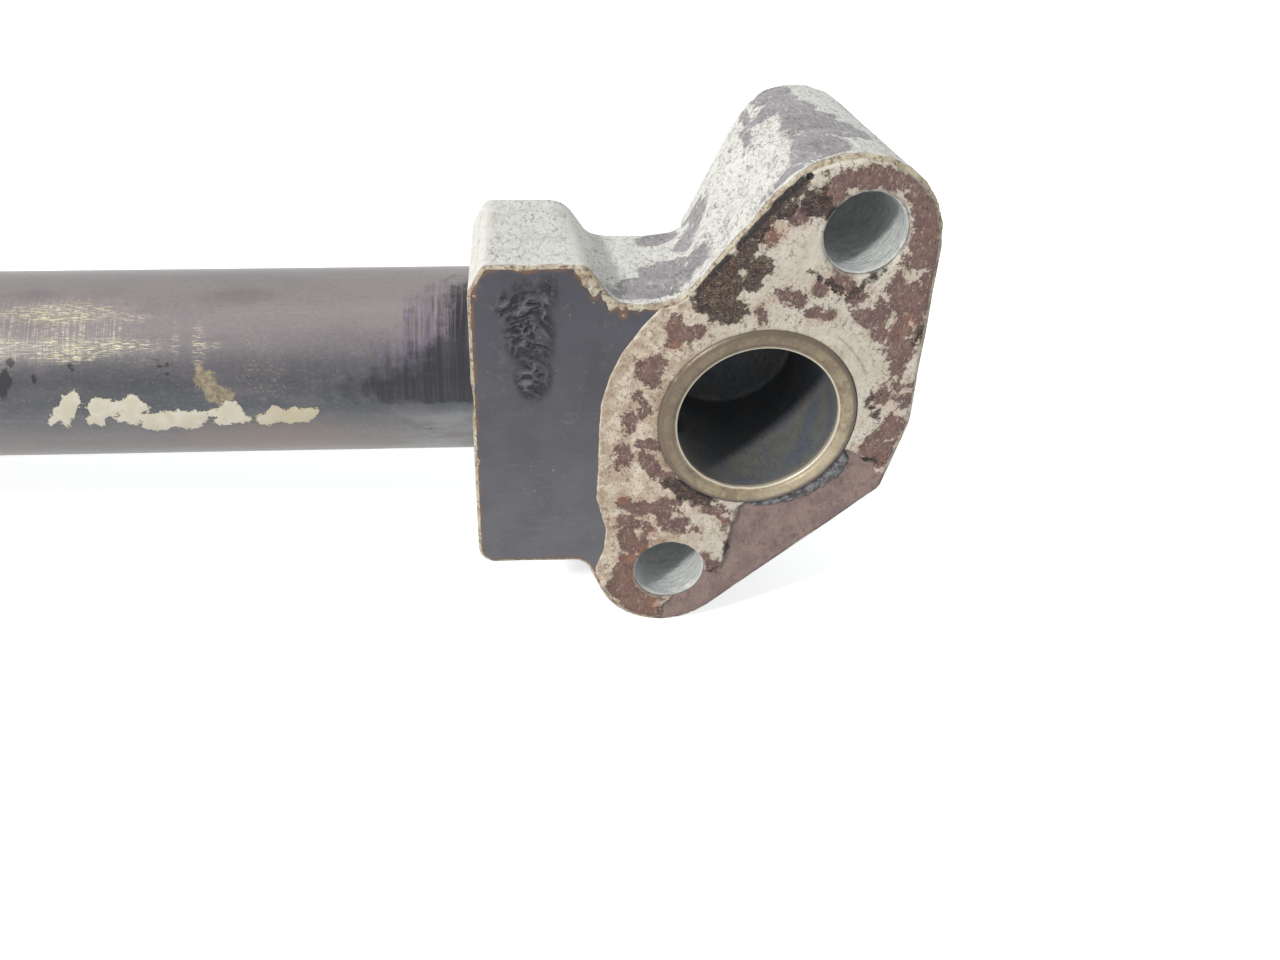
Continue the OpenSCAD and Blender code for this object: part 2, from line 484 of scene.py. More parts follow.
def block_marks(shape, p, normal):
    """Where the stains, bare edges, brown scale and bores lie, in millimetres inside each."""
    x, y, z = p.T
    side = shape.side(p)
    front = (normal[:, 2] > 0.55) & (z > -1.5)
    top = (normal[:, 1] > 0.1) & (y > 12) & ~front
    round_ear = np.degrees(np.arctan2(x - UPPER_EAR[0], y - UPPER_EAR[1])) * EAR_MM_PER_DEGREE
    on_ear = spots(np.stack([round_ear, z], 1), EAR_STAINS)
    on_top = np.where(x < -3, spots(np.stack([x, z], 1), TOP_STAINS), on_ear)
    on_left = np.where((normal[:, 0] < -0.7) & (x < -40), np.minimum(16 - y, -z - 1.2), FAR_OUTSIDE)
    below = (normal[:, 1] < -0.3) & (z > -BLOCK_DEPTH)
    under = np.where(below | (x > 10), 1.2 + 2.2 * rough(p, 9.0, 71), on_left)
    aside = np.where(top, np.maximum(on_top, on_ear), np.minimum(under, np.minimum(-z - 1.6, 3.0)))
    torn = -outline_distance(p, TORN) + 1.2
    scale = np.where(front, np.minimum(torn, -side - 0.2), FAR_OUTSIDE)
    bolt = from_bolt(p)
    hole = BOLT_R + 0.25 - bolt
    port = np.where(z > -PORT_DEPTH - 0.6, PORT_R + 0.25 - from_port(p), FAR_OUTSIDE)
    passage = np.where(x < 1.0, BORE_R + 0.25 - np.hypot(y - TUBE_RISE, z - TUBE_Z), FAR_OUTSIDE)
    corner = np.minimum.reduce([np.hypot(x - cx, y - cy) - 0.8 for cx, cy in WORN_CORNERS])
    in_boss = (y > 11) & (shape.beside_boss(p) < 1)
    edge = np.minimum.reduce([
        np.hypot(side, z), np.hypot(side, z + BOSS_DEPTH),
        np.hypot(side, z + BLOCK_DEPTH) + np.where(in_boss, 9, 0),
        np.hypot(bolt - BOLT_R, z), np.where(side > -1, corner, 9)])
    return {
        "stain": near(np.where(front, FAR_OUTSIDE, aside)), "scale": near(scale), "hole": near(hole),
        "port": near(np.maximum(port, passage)), "edge": np.clip(edge, 0, MARK_REACH),
        "top": top.astype(float),
    }


def build_end_block(look):
    """A skin over the plain block, evened out and then pressed in by its weathering."""
    shape = BlockShape(look.edge_round)
    p, faces = skin(shape.plain, *CAST_SPAN, look.grain)
    edges = edges_of(faces)
    for _ in range(2):
        p = settle(relax(p, edges, 0.5), shape.plain, 2)
    p = settle(p, shape.worn, 2)
    normal = slopes(p, shape.plain)
    normal /= np.maximum(np.linalg.norm(normal, axis=1), 1e-6)[:, None]
    marks = block_marks(shape, p, normal)
    finish = casting_finish(look)
    return make_piece("end_block_casting", p, faces, finish, marks, ["end_block"])


# ---------------------------------------------------------------- the gasket

# The gasket's left rim, as height and side
GASKET_LEFT = [
    (-41, -16), (-38.3, -18.5), (-35.3, -20.8), (-31, -23.2), (-28, -23.4), (-24, -22.1), (-20, -21.9),
    (-17, -22.8), (-14, -23.6), (-8, -23.5), (-2, -23.6), (3.2, -23.4), (7.5, -22.3), (11.3, -20.7),
    (15.5, -17.9), (18.4, -15.4), (40, -15.4),
]
# Outline of the part of the gasket that has torn away
TORN = [
    (-0.6, -15.2), (-1.6, -18), (-1.9, -21), (-2, -24.5), (-2.9, -27.5), (-4.4, -29.2), (-5.6, -28.6),
    (-8.2, -33.2), (-10.6, -34.2), (-12.1, -36), (-12.3, -42), (30, -42), (30, -12), (20.2, -10.6),
    (18.8, -8), (16.6, -7.2), (14.6, -5.4), (10, -4), (4, -10),
]
# Chips out of the face's paint, as strokes of x, y, x, y and half width
PAINT_CHIPS = [
    (-26.8, 24, -24.8, 20.9, 0.9), (-25.6, 22.4, -24.9, 20.2, 0.6), (-21, 18.4, -20.7, 17.3, 0.4),
    (-23.9, 21, -22.4, 18.6, 0.55), (-20.4, 18.2, -15.5, 18.4, 0.5), (-41.6, 22.4, -41.4, 20.2, 0.35),
    (-36, 24.2, -33.2, 24.3, 0.35), (-42.2, -4, -42.1, -7, 0.3),
]
# Lowest and highest corners of the sheets of paint and gasket
PAINT_SPAN = ((-43, -37), (-13, 25.4))
GASKET_SPAN = ((-24.6, -40.4), (23.4, 39.8))
# Where the paint has shrivelled into folds
WRINKLES = [
    (-34, 15, 3.6, 7.2, 6), (-33.4, 7.6, 2.8, 3.8), (-36.8, 18.6, 1.8, 2.2), (-31.4, 20.6, 1.4, 2.4),
]


def flat(p):
    """The points, moved to the face's own plane."""
    return np.c_[p[:, :2], np.zeros(len(p))]


def left_rim(p):
    """The gasket's left rim at each point's height."""
    return np.interp(p[:, 1], *zip(*GASKET_LEFT))


def fray(p, size, seed):
    """Uneven shifts from -1 to 1 across the face, for broken edges."""
    return rough(flat(p), size, seed, 4) / 1.4


def gasket_field(shape, p):
    """Millimetres outside what is left of the gasket."""
    broken = fray(p, 1.6, 81)
    edge = shape.face.at(p) + 0.66 + 0.22 * broken
    left = left_rim(p) - p[:, 0] + 0.06 * fray(p, 0.8, 84)
    torn = -outline_distance(p, TORN) + 0.6 * broken
    eyelet = EYELET_R - 0.3 - from_port(p)
    bolts = BOLT_R + 0.35 + 0.12 * broken - from_bolt(p)
    return np.max([edge, left, torn, eyelet, bolts], axis=0)


def paint_field(shape, p):
    """Millimetres outside the old paint on the face, which runs in under the gasket's left rim."""
    broken = fray(p, 1.1, 83)
    edge = shape.face.at(p) + 0.52 + 0.07 * broken
    right = p[:, 0] - left_rim(p) - 0.8
    return np.max([edge, right, strokes(p, PAINT_CHIPS) + 0.45 * broken], axis=0)


def paint_height(p):
    """The paint's top above the face, with the patch where it has shrivelled into folds."""
    x, y, zero = flat(p).T
    patch = np.clip((spots(p, WRINKLES) + 0.8 * fray(p, 2.6, 55)) / 1.4 + 0.1, 0, 1)
    bow = y + 0.11 * (x + 34.0) ** 2 + 0.6 * lumps(flat(p), 2.2, 57)
    folds = np.stack([x + 0.25 * y + 0.5 * lumps(flat(p), 1.8, 58), bow, zero], 1)
    ridge = 1 - 3.4 * np.abs(lumps(folds, (1.9, 0.95, 1.0), 51))
    ridge = np.maximum(ridge, 0.8 - 3.4 * np.abs(lumps(folds, (1.3, 0.7, 1.0), 52) - 0.1))
    return 0.07 + 0.012 * lumps(flat(p), 3.0, 59) + 0.42 * patch * np.clip(ridge, -0.08, 0.9)


def scored_lines(p):
    """Millimetres from the arcs scored into the gasket, counted below zero."""
    out = np.full(len(p), -3.0)
    for cx, cy, r, low, high in SCORED_ARCS:
        a = np.degrees(np.arctan2(p[:, 1] - cy, p[:, 0] - cx))
        near = np.abs(np.hypot(p[:, 0] - cx, p[:, 1] - cy) - r)
        out = np.where((a > low) & (a < high), np.maximum(out, -near), out)
    return out


def gasket_height(p, thick):
    """The gasket's top above the face: thin at its left rim, thick at the tear, pitted and scored."""
    x, y, zero = flat(p).T
    full = thick * (0.32 + 0.68 * np.clip((x - left_rim(p)) / 14.0, 0, 1))
    turn = np.degrees(np.arctan2(y, x))
    reach = from_port(p)
    rays = np.stack([turn * 0.35, reach * 0.06, zero], 1)
    score = lumps(rays, 0.35, 91) * np.clip((reach - 14) / 2, 0, 1)
    rusty = np.clip(spots(p, RUST) + 0.3, 0, 0.6)
    burnt = np.clip(spots(p, BURNT) + 0.3, 0, 0.8)
    out = full + 0.035 * score + 0.05 * rough(flat(p), 2.4, 95) + 0.10 * rusty * rough(flat(p), 1.0, 97)
    out += 0.22 * burnt * rough(flat(p), 1.3, 99)
    out -= 0.7 * np.clip((0.55 - np.hypot(x - PIN_HOLE[0], y - PIN_HOLE[1])) / 0.15, 0, 1)
    out -= 0.14 * np.clip(1 + scored_lines(p) / 0.3, 0, 1)
    return np.clip(out, 0.08, 0.98)


# Red-brown rust on the gasket, as x, y, half width, half height and lean
RUST = [
    (7.5, 36, 1.8, 1.2), (10.5, 36.4, 2.2, 1.1), (14, 35.9, 2.3, 1.1, -10), (17.3, 34, 2, 1.4, -35),
    (19, 32, 1.8, 2), (20.2, 29.5, 1.6, 2.4), (20.3, 26.6, 1.6, 2.4), (18.4, 27.4, 1.3, 3.4),
    (19.3, 24.9, 1.5, 1.3), (5.6, 33.6, 1.4, 1.8), (1.6, 31.3, 1.3, 1.1), (6.4, 35, 1.2, 1.2),
    (-1.9, 28.2, 1.3, 1), (8.8, 22.8, 0.9, 1.6), (11.5, 19.8, 1.2, 1.5), (10.3, 21.2, 1.1, 0.8),
    (6.3, 21.3, 0.9, 1), (1.9, 19.9, 1.6, 0.9, -20), (3.5, 18.9, 0.7, 0.9), (6.3, 17.3, 1.3, 0.6, -10),
    (7.9, 17, 0.7, 0.6), (13.2, 16.9, 1.2, 0.9, -30), (15.3, 17.3, 0.7, 1.4, 10), (14.1, 16.2, 0.9, 0.6),
    (17, 20.5, 1.3, 2.1, 20), (19.2, 19.5, 2, 2.3), (20.9, 21.3, 1, 2.2), (20.8, 17.5, 1, 1.9),
    (18.8, 16.4, 0.8, 1.1), (18.6, 12.9, 1.5, 2.6), (20, 11.3, 1.2, 1.9), (19.3, 9, 0.8, 1.6),
    (16, 14, 0.9, 0.8), (19.9, 6.2, 0.5, 1.3), (18, 3.7, 0.7, 1.2), (21.8, 3.4, 0.8, 1.5),
    (20.3, -1.7, 1.6, 2.4), (18.3, -4.6, 1.5, 2.4, -20), (20.3, -5.6, 1.1, 2.3), (19.3, -7.9, 1, 1.2),
    (-13.6, 15.7, 1.2, 1.1), (-12.3, 14.2, 1.9, 1.2), (-10.3, 14.6, 1, 1), (-13.3, 13, 0.9, 0.8),
    (-16.9, 8.7, 1.6, 1.6), (-15.6, 9.8, 0.8, 1.1), (-16.2, 7, 0.8, 1.4, 40), (-18.5, 4.3, 0.6, 0.7),
    (-17, 1.9, 0.8, 1.1), (-19.2, 0.2, 0.8, 1.3), (-19.8, -5.9, 1.1, 1.8), (-16, -4.2, 1.5, 1),
    (-16.6, -6.2, 0.9, 1.6, 35), (-15.1, -8, 1.1, 1.8, 35), (-13.4, -9.4, 1.4, 0.9, -40),
    (-8.3, -14.3, 2.2, 1, -25), (-11.8, -14.6, 1.6, 1), (-5.6, -15.8, 2.4, 0.7, -15),
    (-16, -15.8, 2.6, 1.2), (-12.9, -16.1, 2, 1.1), (-19.2, -14.9, 1, 1), (-17.6, -18.8, 2.3, 0.9, -15),
    (-19.4, -18.2, 0.9, 1.4), (-15.2, -19.7, 1.2, 0.8), (-12.6, -18.3, 1.3, 0.9), (-10.3, -18.9, 1.2, 1.1),
    (-11, -19.6, 1.4, 0.6), (-4.6, -17, 1.6, 0.5, -45), (-3, -18.9, 0.5, 1.2, 15), (-7.7, -19.8, 0.7, 0.7),
    (-18.5, -21.3, 1.3, 2.4), (-17.2, -23.2, 1.2, 2, 25), (-15.7, -22.2, 0.6, 1.6),
    (-17.6, -26.6, 1.8, 1.6), (-18.8, -28.8, 1.5, 2.4), (-18.9, -32, 2.3, 2.2), (-16.5, -35.2, 3, 2.2, -20),
    (-14.6, -37.6, 3, 1.6), (-12.9, -33.9, 1.3, 0.8), (-4.2, -27.9, 1.4, 1.3), (-6, -25.8, 0.7, 0.6),
    (-1.6, 17.4, 0.7, 0.9), (16.8, 22, 0.5, 0.8), (21.2, 14, 0.4, 0.7),
]
# Dark burnt grime
BURNT = [
    (-7.8, 21.6, 3, 2.8), (-6.4, 17.9, 2.4, 1.7), (-9.5, 19.2, 1.6, 1.6), (-6.8, 24.4, 1.6, 1.2),
    (-2.6, 24.2, 1.5, 1.3), (-3.4, 22.2, 1.2, 1.2), (-4.6, 27, 1.2, 1.4), (-5.2, 25.2, 1.3, 1.2),
    (3.6, 33.1, 1.7, 1.5), (5, 31.9, 1.2, 0.6, -20), (0.3, 32.2, 0.5, 1, -30), (-3.6, 29.2, 0.9, 0.9),
    (-2.4, 30.8, 0.7, 1.2, -35), (-1, 32.6, 0.7, 1.2, -35), (0.2, 34.1, 0.7, 1.1, -40),
    (1.4, 35.3, 0.7, 0.8, -40), (-10.6, -12.2, 2.2, 1.1, -45), (-12, -11, 1, 0.8),
    (-7.4, -13.8, 1.8, 0.8, -25), (17.3, -7.6, 1.4, 0.5), (-4, -28.9, 1, 0.6, 30), (-2, -24, 0.5, 1.2),
    (7.6, 21.6, 0.15, 1, 60), (12, 21.6, 0.15, 0.9, -50), (21.3, 13.6, 0.2, 0.6), (17.6, 1, 0.3, 0.5),
    (16.2, 3.4, 0.2, 0.4),
]
# Brighter, orange rust
ORANGE = [
    (-0.9, 29.4, 1.4, 1.4), (-17, -29, 1, 3), (-13.4, -35.4, 1.3, 1.3), (-18.3, -25.8, 1.2, 1),
    (19.7, 16.2, 0.8, 1), (-15.6, -24.4, 0.8, 1.2), (-14.8, -20.4, 0.8, 0.7), (-19.6, -14.2, 0.8, 1),
    (17.6, 14.4, 1, 0.5), (-3.4, -18.2, 0.6, 0.8), (20.4, -8.4, 0.5, 1.4), (-13, 12.4, 1.2, 0.7),
]
# Where loose fibres stand up
TUFTS = [(-7.2, 22, 3.4, 2.8), (-6.4, 18.8, 2.4, 2), (-4, 25.6, 1.6, 2), (3.6, 32.8, 1.4, 1.2)]
# Arcs scored into the gasket, as centre, radius, and first and last angle in degrees
SCORED_ARCS = [(0, 0, 16.8, 20, 56), (*UPPER_EAR, 12, 100, 128)]
PIN_HOLE = (2.5, 36.4)
# How far out of the face the loose bits may reach, just under the eyelet's top
HIGHEST_CRUMB = 1.18


def sheet(field, height, low, high, step):
    """Points and faces of a thin layer on the face, cut to the zero of a field, and how many are its top."""
    x, y = np.meshgrid(*(np.arange(low[k], high[k], step) for k in range(2)), indexing="ij")
    rows, columns = x.shape
    p = np.stack([x.ravel(), y.ravel(), np.zeros(x.size)], 1)
    f = field(p)
    inside = (f < 0).reshape(rows, columns)
    cells = inside[:-1, :-1] | inside[1:, :-1] | inside[:-1, 1:] | inside[1:, 1:]
    i, j = np.nonzero(cells)
    corner = i * columns + j
    quads = np.stack([corner, corner + columns, corner + columns + 1, corner + 1], 1)
    rim = np.zeros(len(p), bool)
    rim[np.unique(quads)] = True
    rim &= f >= 0
    nudge = 0.04
    for _ in range(4):
        value = field(p[rim])
        grad = np.stack([field(p[rim] + nudge * np.eye(3)[k]) - value for k in range(2)], 1) / nudge
        move = value[:, None] * grad / np.maximum((grad ** 2).sum(1), LEAST_SLOPE)[:, None]
        p[rim, :2] -= np.clip(move, -step, step) * 0.8
    used, at = np.unique(quads, return_inverse=True)
    quads = at.reshape(quads.shape)
    top = p[used]
    inner = np.clip(-field(top) / 0.35, 0, 1)
    foot = top.copy()
    top[:, 2] = height(top) * (0.45 + 0.55 * np.sqrt(inner))
    foot[:, 2] = -ROOTED
    loops = np.concatenate([quads[:, [k, (k + 1) % 4]] for k in range(4)])
    _, first, count = np.unique(np.sort(loops, axis=1), axis=0, return_index=True, return_counts=True)
    border = loops[first[count == 1]]
    n = len(top)
    walls = np.stack([border[:, 1], border[:, 0], border[:, 0] + n, border[:, 1] + n], 1)
    return np.concatenate([top, foot]), np.concatenate([quads, quads[:, ::-1] + n, walls]), n


def build_paint(look):
    """The old paint on the face, as a thin sheet with chips and folds."""
    shape = BlockShape(look.edge_round)
    p, faces, top = sheet(lambda q: paint_field(shape, q), paint_height, *PAINT_SPAN, look.paint_grain)
    marks = {
        "rim": near(-paint_field(shape, p)), "folds": near(spots(p, WRINKLES)),
        "lift": np.where(np.arange(len(p)) < top, p[:, 2], 0),
    }
    return make_piece("paint_on_face", p, faces, paint_finish(look), marks, [])


def build_gasket(look):
    """What is left of the gasket, with its rust crumbs and loose fibres."""
    shape = BlockShape(0.4)
    p, faces, top = sheet(
        lambda q: gasket_field(shape, q), lambda q: gasket_height(q, look.gasket_thick),
        *GASKET_SPAN, look.gasket_grain)
    within = -gasket_field(shape, p)
    rust, burnt, tufts = spots(p, RUST), spots(p, BURNT), spots(p, TUFTS)
    torn = outline_distance(p, TORN)
    upper = (np.arange(len(p)) < top) & (within > 0.25)
    marks = {
        "rust": near(rust), "burnt": near(burnt), "orange": near(spots(p, ORANGE)), "rim": near(within),
        "score": scored_lines(p), "pin": 0.5 - np.hypot(p[:, 0] - PIN_HOLE[0], p[:, 1] - PIN_HOLE[1]),
        "grit": np.where(upper, np.clip(burnt + 0.2, 0, 1) + 0.03 * np.clip(rust, 0, 1), 0),
        "tufts": np.where(upper, np.clip(tufts + 0.4, 0, 1) + 0.25 * np.clip(1 - torn / 0.9, 0, 1), 0),
    }
    gasket = make_piece("gasket_remains", p, faces, gasket_finish(look), marks, ["gasket"])
    scatter_on(gasket, "rust_crumbs", crumb_tree(), crumb_finish(), look.crumbs, 5)
    scatter_on(gasket, "loose_fibres", fibre_tree(), fibre_finish(), look.fibres, 9)


def scatter_on(gasket, name, tree, finish, density, seed):
    """Loose bits strewn over the gasket by a tree, as a piece of their own."""
    base = loose_object("bed", gasket.data.copy())
    mesh = run_tree(base, tree, {"Density": density, "Seed": seed, "Finish": finish})
    bpy.data.objects.remove(base)
    for layer in gasket.data.attributes:
        if layer.data_type == "FLOAT" and layer.name in mesh.attributes:
            mesh.attributes.remove(mesh.attributes[layer.name])
    mesh.name = name
    co = np.empty(len(mesh.vertices) * 3)
    mesh.vertices.foreach_get("co", co)
    co[1::3] = np.maximum(co[1::3], -HIGHEST_CRUMB * MM)
    mesh.vertices.foreach_set("co", co)
    finish_piece(loose_object(name, mesh), finish, [])


# ---------------------------------------------------------------- nodes

def feed(socket, value):
    """Gives an input a value, or links the output that feeds it."""
    value = getattr(value, "socket", value)
    if isinstance(value, bpy.types.NodeSocket):
        socket.id_data.links.new(value, socket)
    else:
        socket.default_value = value


def add_node(tree, kind, settings=None, **inputs):
    """A new node with its settings. Its inputs are fed by name, with _ for a space."""
    node = tree.nodes.new(kind)
    for key, value in (settings or {}).items():
        setattr(node, key, value)
    for key, value in inputs.items():
        feed(node.inputs[key.replace("_", " ")], value)
    return node


class Wire:
    """A node's output, which is added, subtracted and multiplied like a number."""

    def __init__(self, socket):
        self.socket = socket

    def math(self, operation, *values):
        node = add_node(self.socket.id_data, "ShaderNodeMath", {"operation": operation})
        for socket, value in zip(node.inputs, values):
            feed(socket, value)
        return Wire(node.outputs[0])

    def __add__(self, other):
        return self.math("ADD", self, other)

    def __radd__(self, other):
        return self.math("ADD", other, self)

    def __sub__(self, other):
        return self.math("SUBTRACT", self, other)

    def __rsub__(self, other):
        return self.math("SUBTRACT", other, self)

    def __mul__(self, other):
        return self.math("MULTIPLY", self, other)

    def __abs__(self):
        return self.math("ABSOLUTE", self)

    def larger(self, other):
        return self.math("MAXIMUM", self, other)

    def band(self, low, high):
        """A smooth step from 0 at low to 1 at high."""
        return Wire(add_node(
            self.socket.id_data, "ShaderNodeMapRange", {"interpolation_type": "SMOOTHSTEP"},
            Value=self, From_Min=low, From_Max=high).outputs[0])


def new_tree(name, inputs):
    """A Geometry Nodes tree with named inputs, given as name, socket kind and default."""
    tree = bpy.data.node_groups.new(name, "GeometryNodeTree")
    tree.interface.new_socket("Geometry", in_out="INPUT", socket_type="NodeSocketGeometry")
    for label, kind, default in inputs:
        socket = tree.interface.new_socket(label, in_out="INPUT", socket_type="NodeSocket" + kind)
        if default is not None:
            socket.default_value = default
    tree.interface.new_socket("Geometry", in_out="OUTPUT", socket_type="NodeSocketGeometry")
    return tree, tree.nodes.new("NodeGroupInput").outputs


def end_tree(tree, given, geometry, shake=0.0):
    """Makes instances real, shakes their points a little, and gives them their finish."""
    made = add_node(tree, "GeometryNodeRealizeInstances", Geometry=geometry).outputs[0]
    if shake:
        offset = random_vector(tree, ((-shake,) * 3, (shake,) * 3), seed=31)
        made = add_node(tree, "GeometryNodeSetPosition", Geometry=made, Offset=offset).outputs[0]
    made = add_node(tree, "GeometryNodeSetMaterial", Geometry=made, Material=given["Finish"]).outputs[0]
    add_node(tree, "NodeGroupOutput", Geometry=made)
    return tree


def random_vector(tree, span, seed):
    """A vector between the two of a span, drawn for each point."""
    kind, low, high = {"data_type": "FLOAT_VECTOR"}, *span
    return add_node(tree, "FunctionNodeRandomValue", kind, Min=low, Max=high, Seed=seed).outputs[0]


def run_tree(base, tree, values):
    """The plain mesh that a tree makes from an object, as a new data block."""
    modifier = base.modifiers.new(tree.name, "NODES")
    modifier.node_group = tree
    for item in tree.interface.items_tree:
        if item.item_type == "SOCKET" and item.in_out == "INPUT" and item.name in values:
            modifier[item.identifier] = values[item.name]
    graph = bpy.context.evaluated_depsgraph_get()
    mesh = bpy.data.meshes.new_from_object(base.evaluated_get(graph))
    base.modifiers.remove(modifier)
    return mesh


def turning_tree():
    """Sweeps a closed section round a circle, as a lathe turns it."""
    tree, given = new_tree("Turned piece", [
        ("Path radius", "Float", 10.0), ("Segments", "Int", 96), ("Finish", "Material", None)])
    section = add_node(tree, "GeometryNodeMeshToCurve", Mesh=given["Geometry"])
    circle = add_node(
        tree, "GeometryNodeCurvePrimitiveCircle", Radius=given["Path radius"], Resolution=given["Segments"])
    sweep = add_node(
        tree, "GeometryNodeCurveToMesh", Curve=circle.outputs[0], Profile_Curve=section.outputs[0])
    return end_tree(tree, given, sweep.outputs[0])


def scatter_tree(name, mark, shape, sizes, turn, scale, seed, shake=0.0):
    """Strews a small shape over a surface, as densely as its mark says, at random turns and scales."""
    tree, given = new_tree(name, [
        ("Density", "Float", 1.0e7), ("Seed", "Int", 0), ("Finish", "Material", None)])
    bit = add_node(tree, shape, **sizes)
    dense = add_node(tree, "GeometryNodeInputNamedAttribute", {"data_type": "FLOAT"}, Name=mark)
    points = add_node(
        tree, "GeometryNodeDistributePointsOnFaces", Mesh=given["Geometry"], Seed=given["Seed"],
        Density=Wire(dense.outputs["Attribute"]) * given["Density"]).outputs
    by = add_node(tree, "FunctionNodeEulerToRotation", Euler=random_vector(tree, turn, seed))
    rotation = add_node(
        tree, "FunctionNodeRotateRotation", {"rotation_space": "LOCAL"},
        Rotation=points["Rotation"], Rotate_By=by.outputs[0])
    placed = add_node(
        tree, "GeometryNodeInstanceOnPoints", Points=points["Points"], Instance=bit.outputs["Mesh"],
        Rotation=rotation.outputs[0], Scale=random_vector(tree, scale, seed + 1))
    return end_tree(tree, given, placed.outputs[0], shake)


def crumb_tree():
    return scatter_tree(
        "Rust crumbs", "grit", "GeometryNodeMeshIcoSphere", {"Radius": 0.13 * MM, "Subdivisions": 1},
        turn=((0, 0, -3.14), (0.5, 0.5, 3.14)), scale=((0.5, 0.5, 0.3), (1.9, 1.2, 0.9)),
        seed=11, shake=0.05 * MM)


def fibre_tree():
    return scatter_tree(
        "Loose fibres", "tufts", "GeometryNodeMeshCone",
        {"Vertices": 4, "Radius Top": 0.012 * MM, "Radius Bottom": 0.04 * MM, "Depth": 0.9 * MM},
        turn=((1.25, 0, -3.14), (1.5, 0, 3.14)), scale=((0.7, 0.7, 0.5), (1.3, 1.3, 1.5)), seed=21)


def turned(section, path_r, segments, finish):
    """Points and quads of a section of (radius, height) pairs turned about an axis.

    The points come back as distance along the axis, and the two sides across it."""
    n = len(section)
    mesh = bpy.data.meshes.new("section")
    mesh.from_pydata([(r - path_r, -h, 0) for r, h in section], [(i, (i + 1) % n) for i in range(n)], [])
    base = loose_object("section", mesh)
    made = run_tree(base, turning_tree(), {"Path radius": path_r, "Segments": segments, "Finish": finish})
    bpy.data.objects.remove(base)
    points = np.empty(len(made.vertices) * 3)
    made.vertices.foreach_get("co", points)
    faces = np.empty(len(made.loops), int)
    made.loops.foreach_get("vertex_index", faces)
    bpy.data.meshes.remove(made)
    return points.reshape(-1, 3)[:, [2, 1, 0]], faces.reshape(-1, 4)


# ---------------------------------------------------------------- the tube

# Marks on the tube, as distance out from the block and millimetres round it, upwards from the front.
# Outlines of the chips of bare metal
CHIPS = [
    [(22.1, -0.7), (23.3, -0.6), (24.8, -1), (25.8, -0.2), (26.3, -0.9), (27.6, -0.8), (28.5, -0.1),
     (29.2, -0.3), (30, -1.3), (30.8, -1.6), (31.8, -2.2), (31.2, -3.2), (30, -3.6), (29, -3.1), (26, -3),
     (24, -2.9), (22.8, -1.8)],
    [(31.9, -2.1), (32.6, -2), (33.4, -0.8), (33.8, 0.3), (35.4, 0.8), (36.3, 0.2), (36.5, -0.6),
     (38.8, -0.7), (44, -0.9), (45, -0.6), (46.2, -1.1), (47.4, -1.1), (48, -1.9), (48.2, -3.6),
     (46.5, -4.3), (44.8, -4.1), (43.8, -3.6), (40.6, -4.1), (39.6, -3.6), (38.8, -2.2), (38.2, -1.8),
     (37.2, -1.9), (37.7, -2.6), (37.3, -3.4), (35.5, -3.2), (33.5, -3.2), (32, -2.5)],
    [(46.3, 0.2), (47.4, 1.3), (48.6, 1.9), (50.2, 1.1), (51.2, 0.9), (51.5, 1.4), (54, 1.6), (55.3, 0.2),
     (55, -1), (55.8, -2), (55.9, -2.9), (54.8, -2.6), (54, -3.2), (53.5, -2.5), (52.7, -1.6),
     (51.2, -0.9), (50.8, -1.4), (51.5, -2.2), (50.8, -2.6), (49.2, -3), (48.2, -2.3), (47.8, -1.4),
     (46.9, -0.4)],
    [(56.2, 3.2), (57, 2.4), (58, 2), (58.8, 1), (60, 0), (60.3, -0.9), (61.5, -2.7), (59.6, -2.2),
     (59.2, -3.2), (58.6, -3), (58.1, -1.6), (57, -0.8), (56.4, 0.2), (55.6, 0.9), (56.2, 1.6)],
]
# How far from the block those chips start and end
CHIPPED = (20, 63)
# Chips further along, as strokes with a half width
FAR_CHIPS = [
    (104, 6, 109, 5, 0.9), (107, 5, 110.5, 6.2, 0.6), (111, 5, 115, 5.6, 0.6), (196, 18, 201, 19.5, 0.8),
    (200, 19, 205, 18.4, 0.5), (244, -6, 249, -5, 0.9), (252, -4.5, 255, -5.5, 0.6), (86, 34, 93, 33, 0.8),
    (91, 33.6, 97, 32.4, 0.5),
]
# Outline of a yellowed stain
STAINED = [
    (34, 1.8), (34.6, 2.6), (36, 3), (36.4, 3.8), (37.4, 4.3), (36.4, 5.1), (38, 5.2), (38.2, 6.4),
    (38.8, 6.4), (38.7, 5.2), (39.5, 4.2), (38.6, 3.2), (38, 2.4), (37.9, 0.7), (36.2, 0.5), (35, 0.7),
    (34.4, 1),
]
# From here on, centre, half length, half width and lean. Where the film is rubbed through: bright
# dashes along the tube, pale dots, and a weave of turning marks
BRIGHT = [
    (51.5, 9.1, 7, 1), (57, 8.6, 6, 1.7), (58, 14.2, 8, 1.6), (47.6, 13.4, 1.6, 0.7), (38.5, 9, 0.7, 2.6),
    (38.5, 6.4, 0.3, 1), (41.8, 9.6, 0.3, 1.2), (36.6, 9, 0.6, 0.3), (72, 9, 10, 2), (96, 12, 9, 2.2),
    (128, 3, 12, 2), (170, 12, 10, 3), (214, 4, 14, 2.4), (262, 10, 14, 3), (120, 30, 12, 3),
    (200, -26, 14, 3), (80, -28, 10, 3), (280, -16, 9, 4),
]
SPECKLED = [
    (29.6, 5.4, 3.6, 1.6), (28.6, 2.8, 2.4, 2.2), (38.5, 3, 1.4, 2.6), (48, 7.4, 6, 1),
    (31.6, 9.6, 0.6, 1.8), (30.2, 8.6, 1, 1.4), (28.4, 16, 0.2, 3), (150, 2, 20, 3),
]
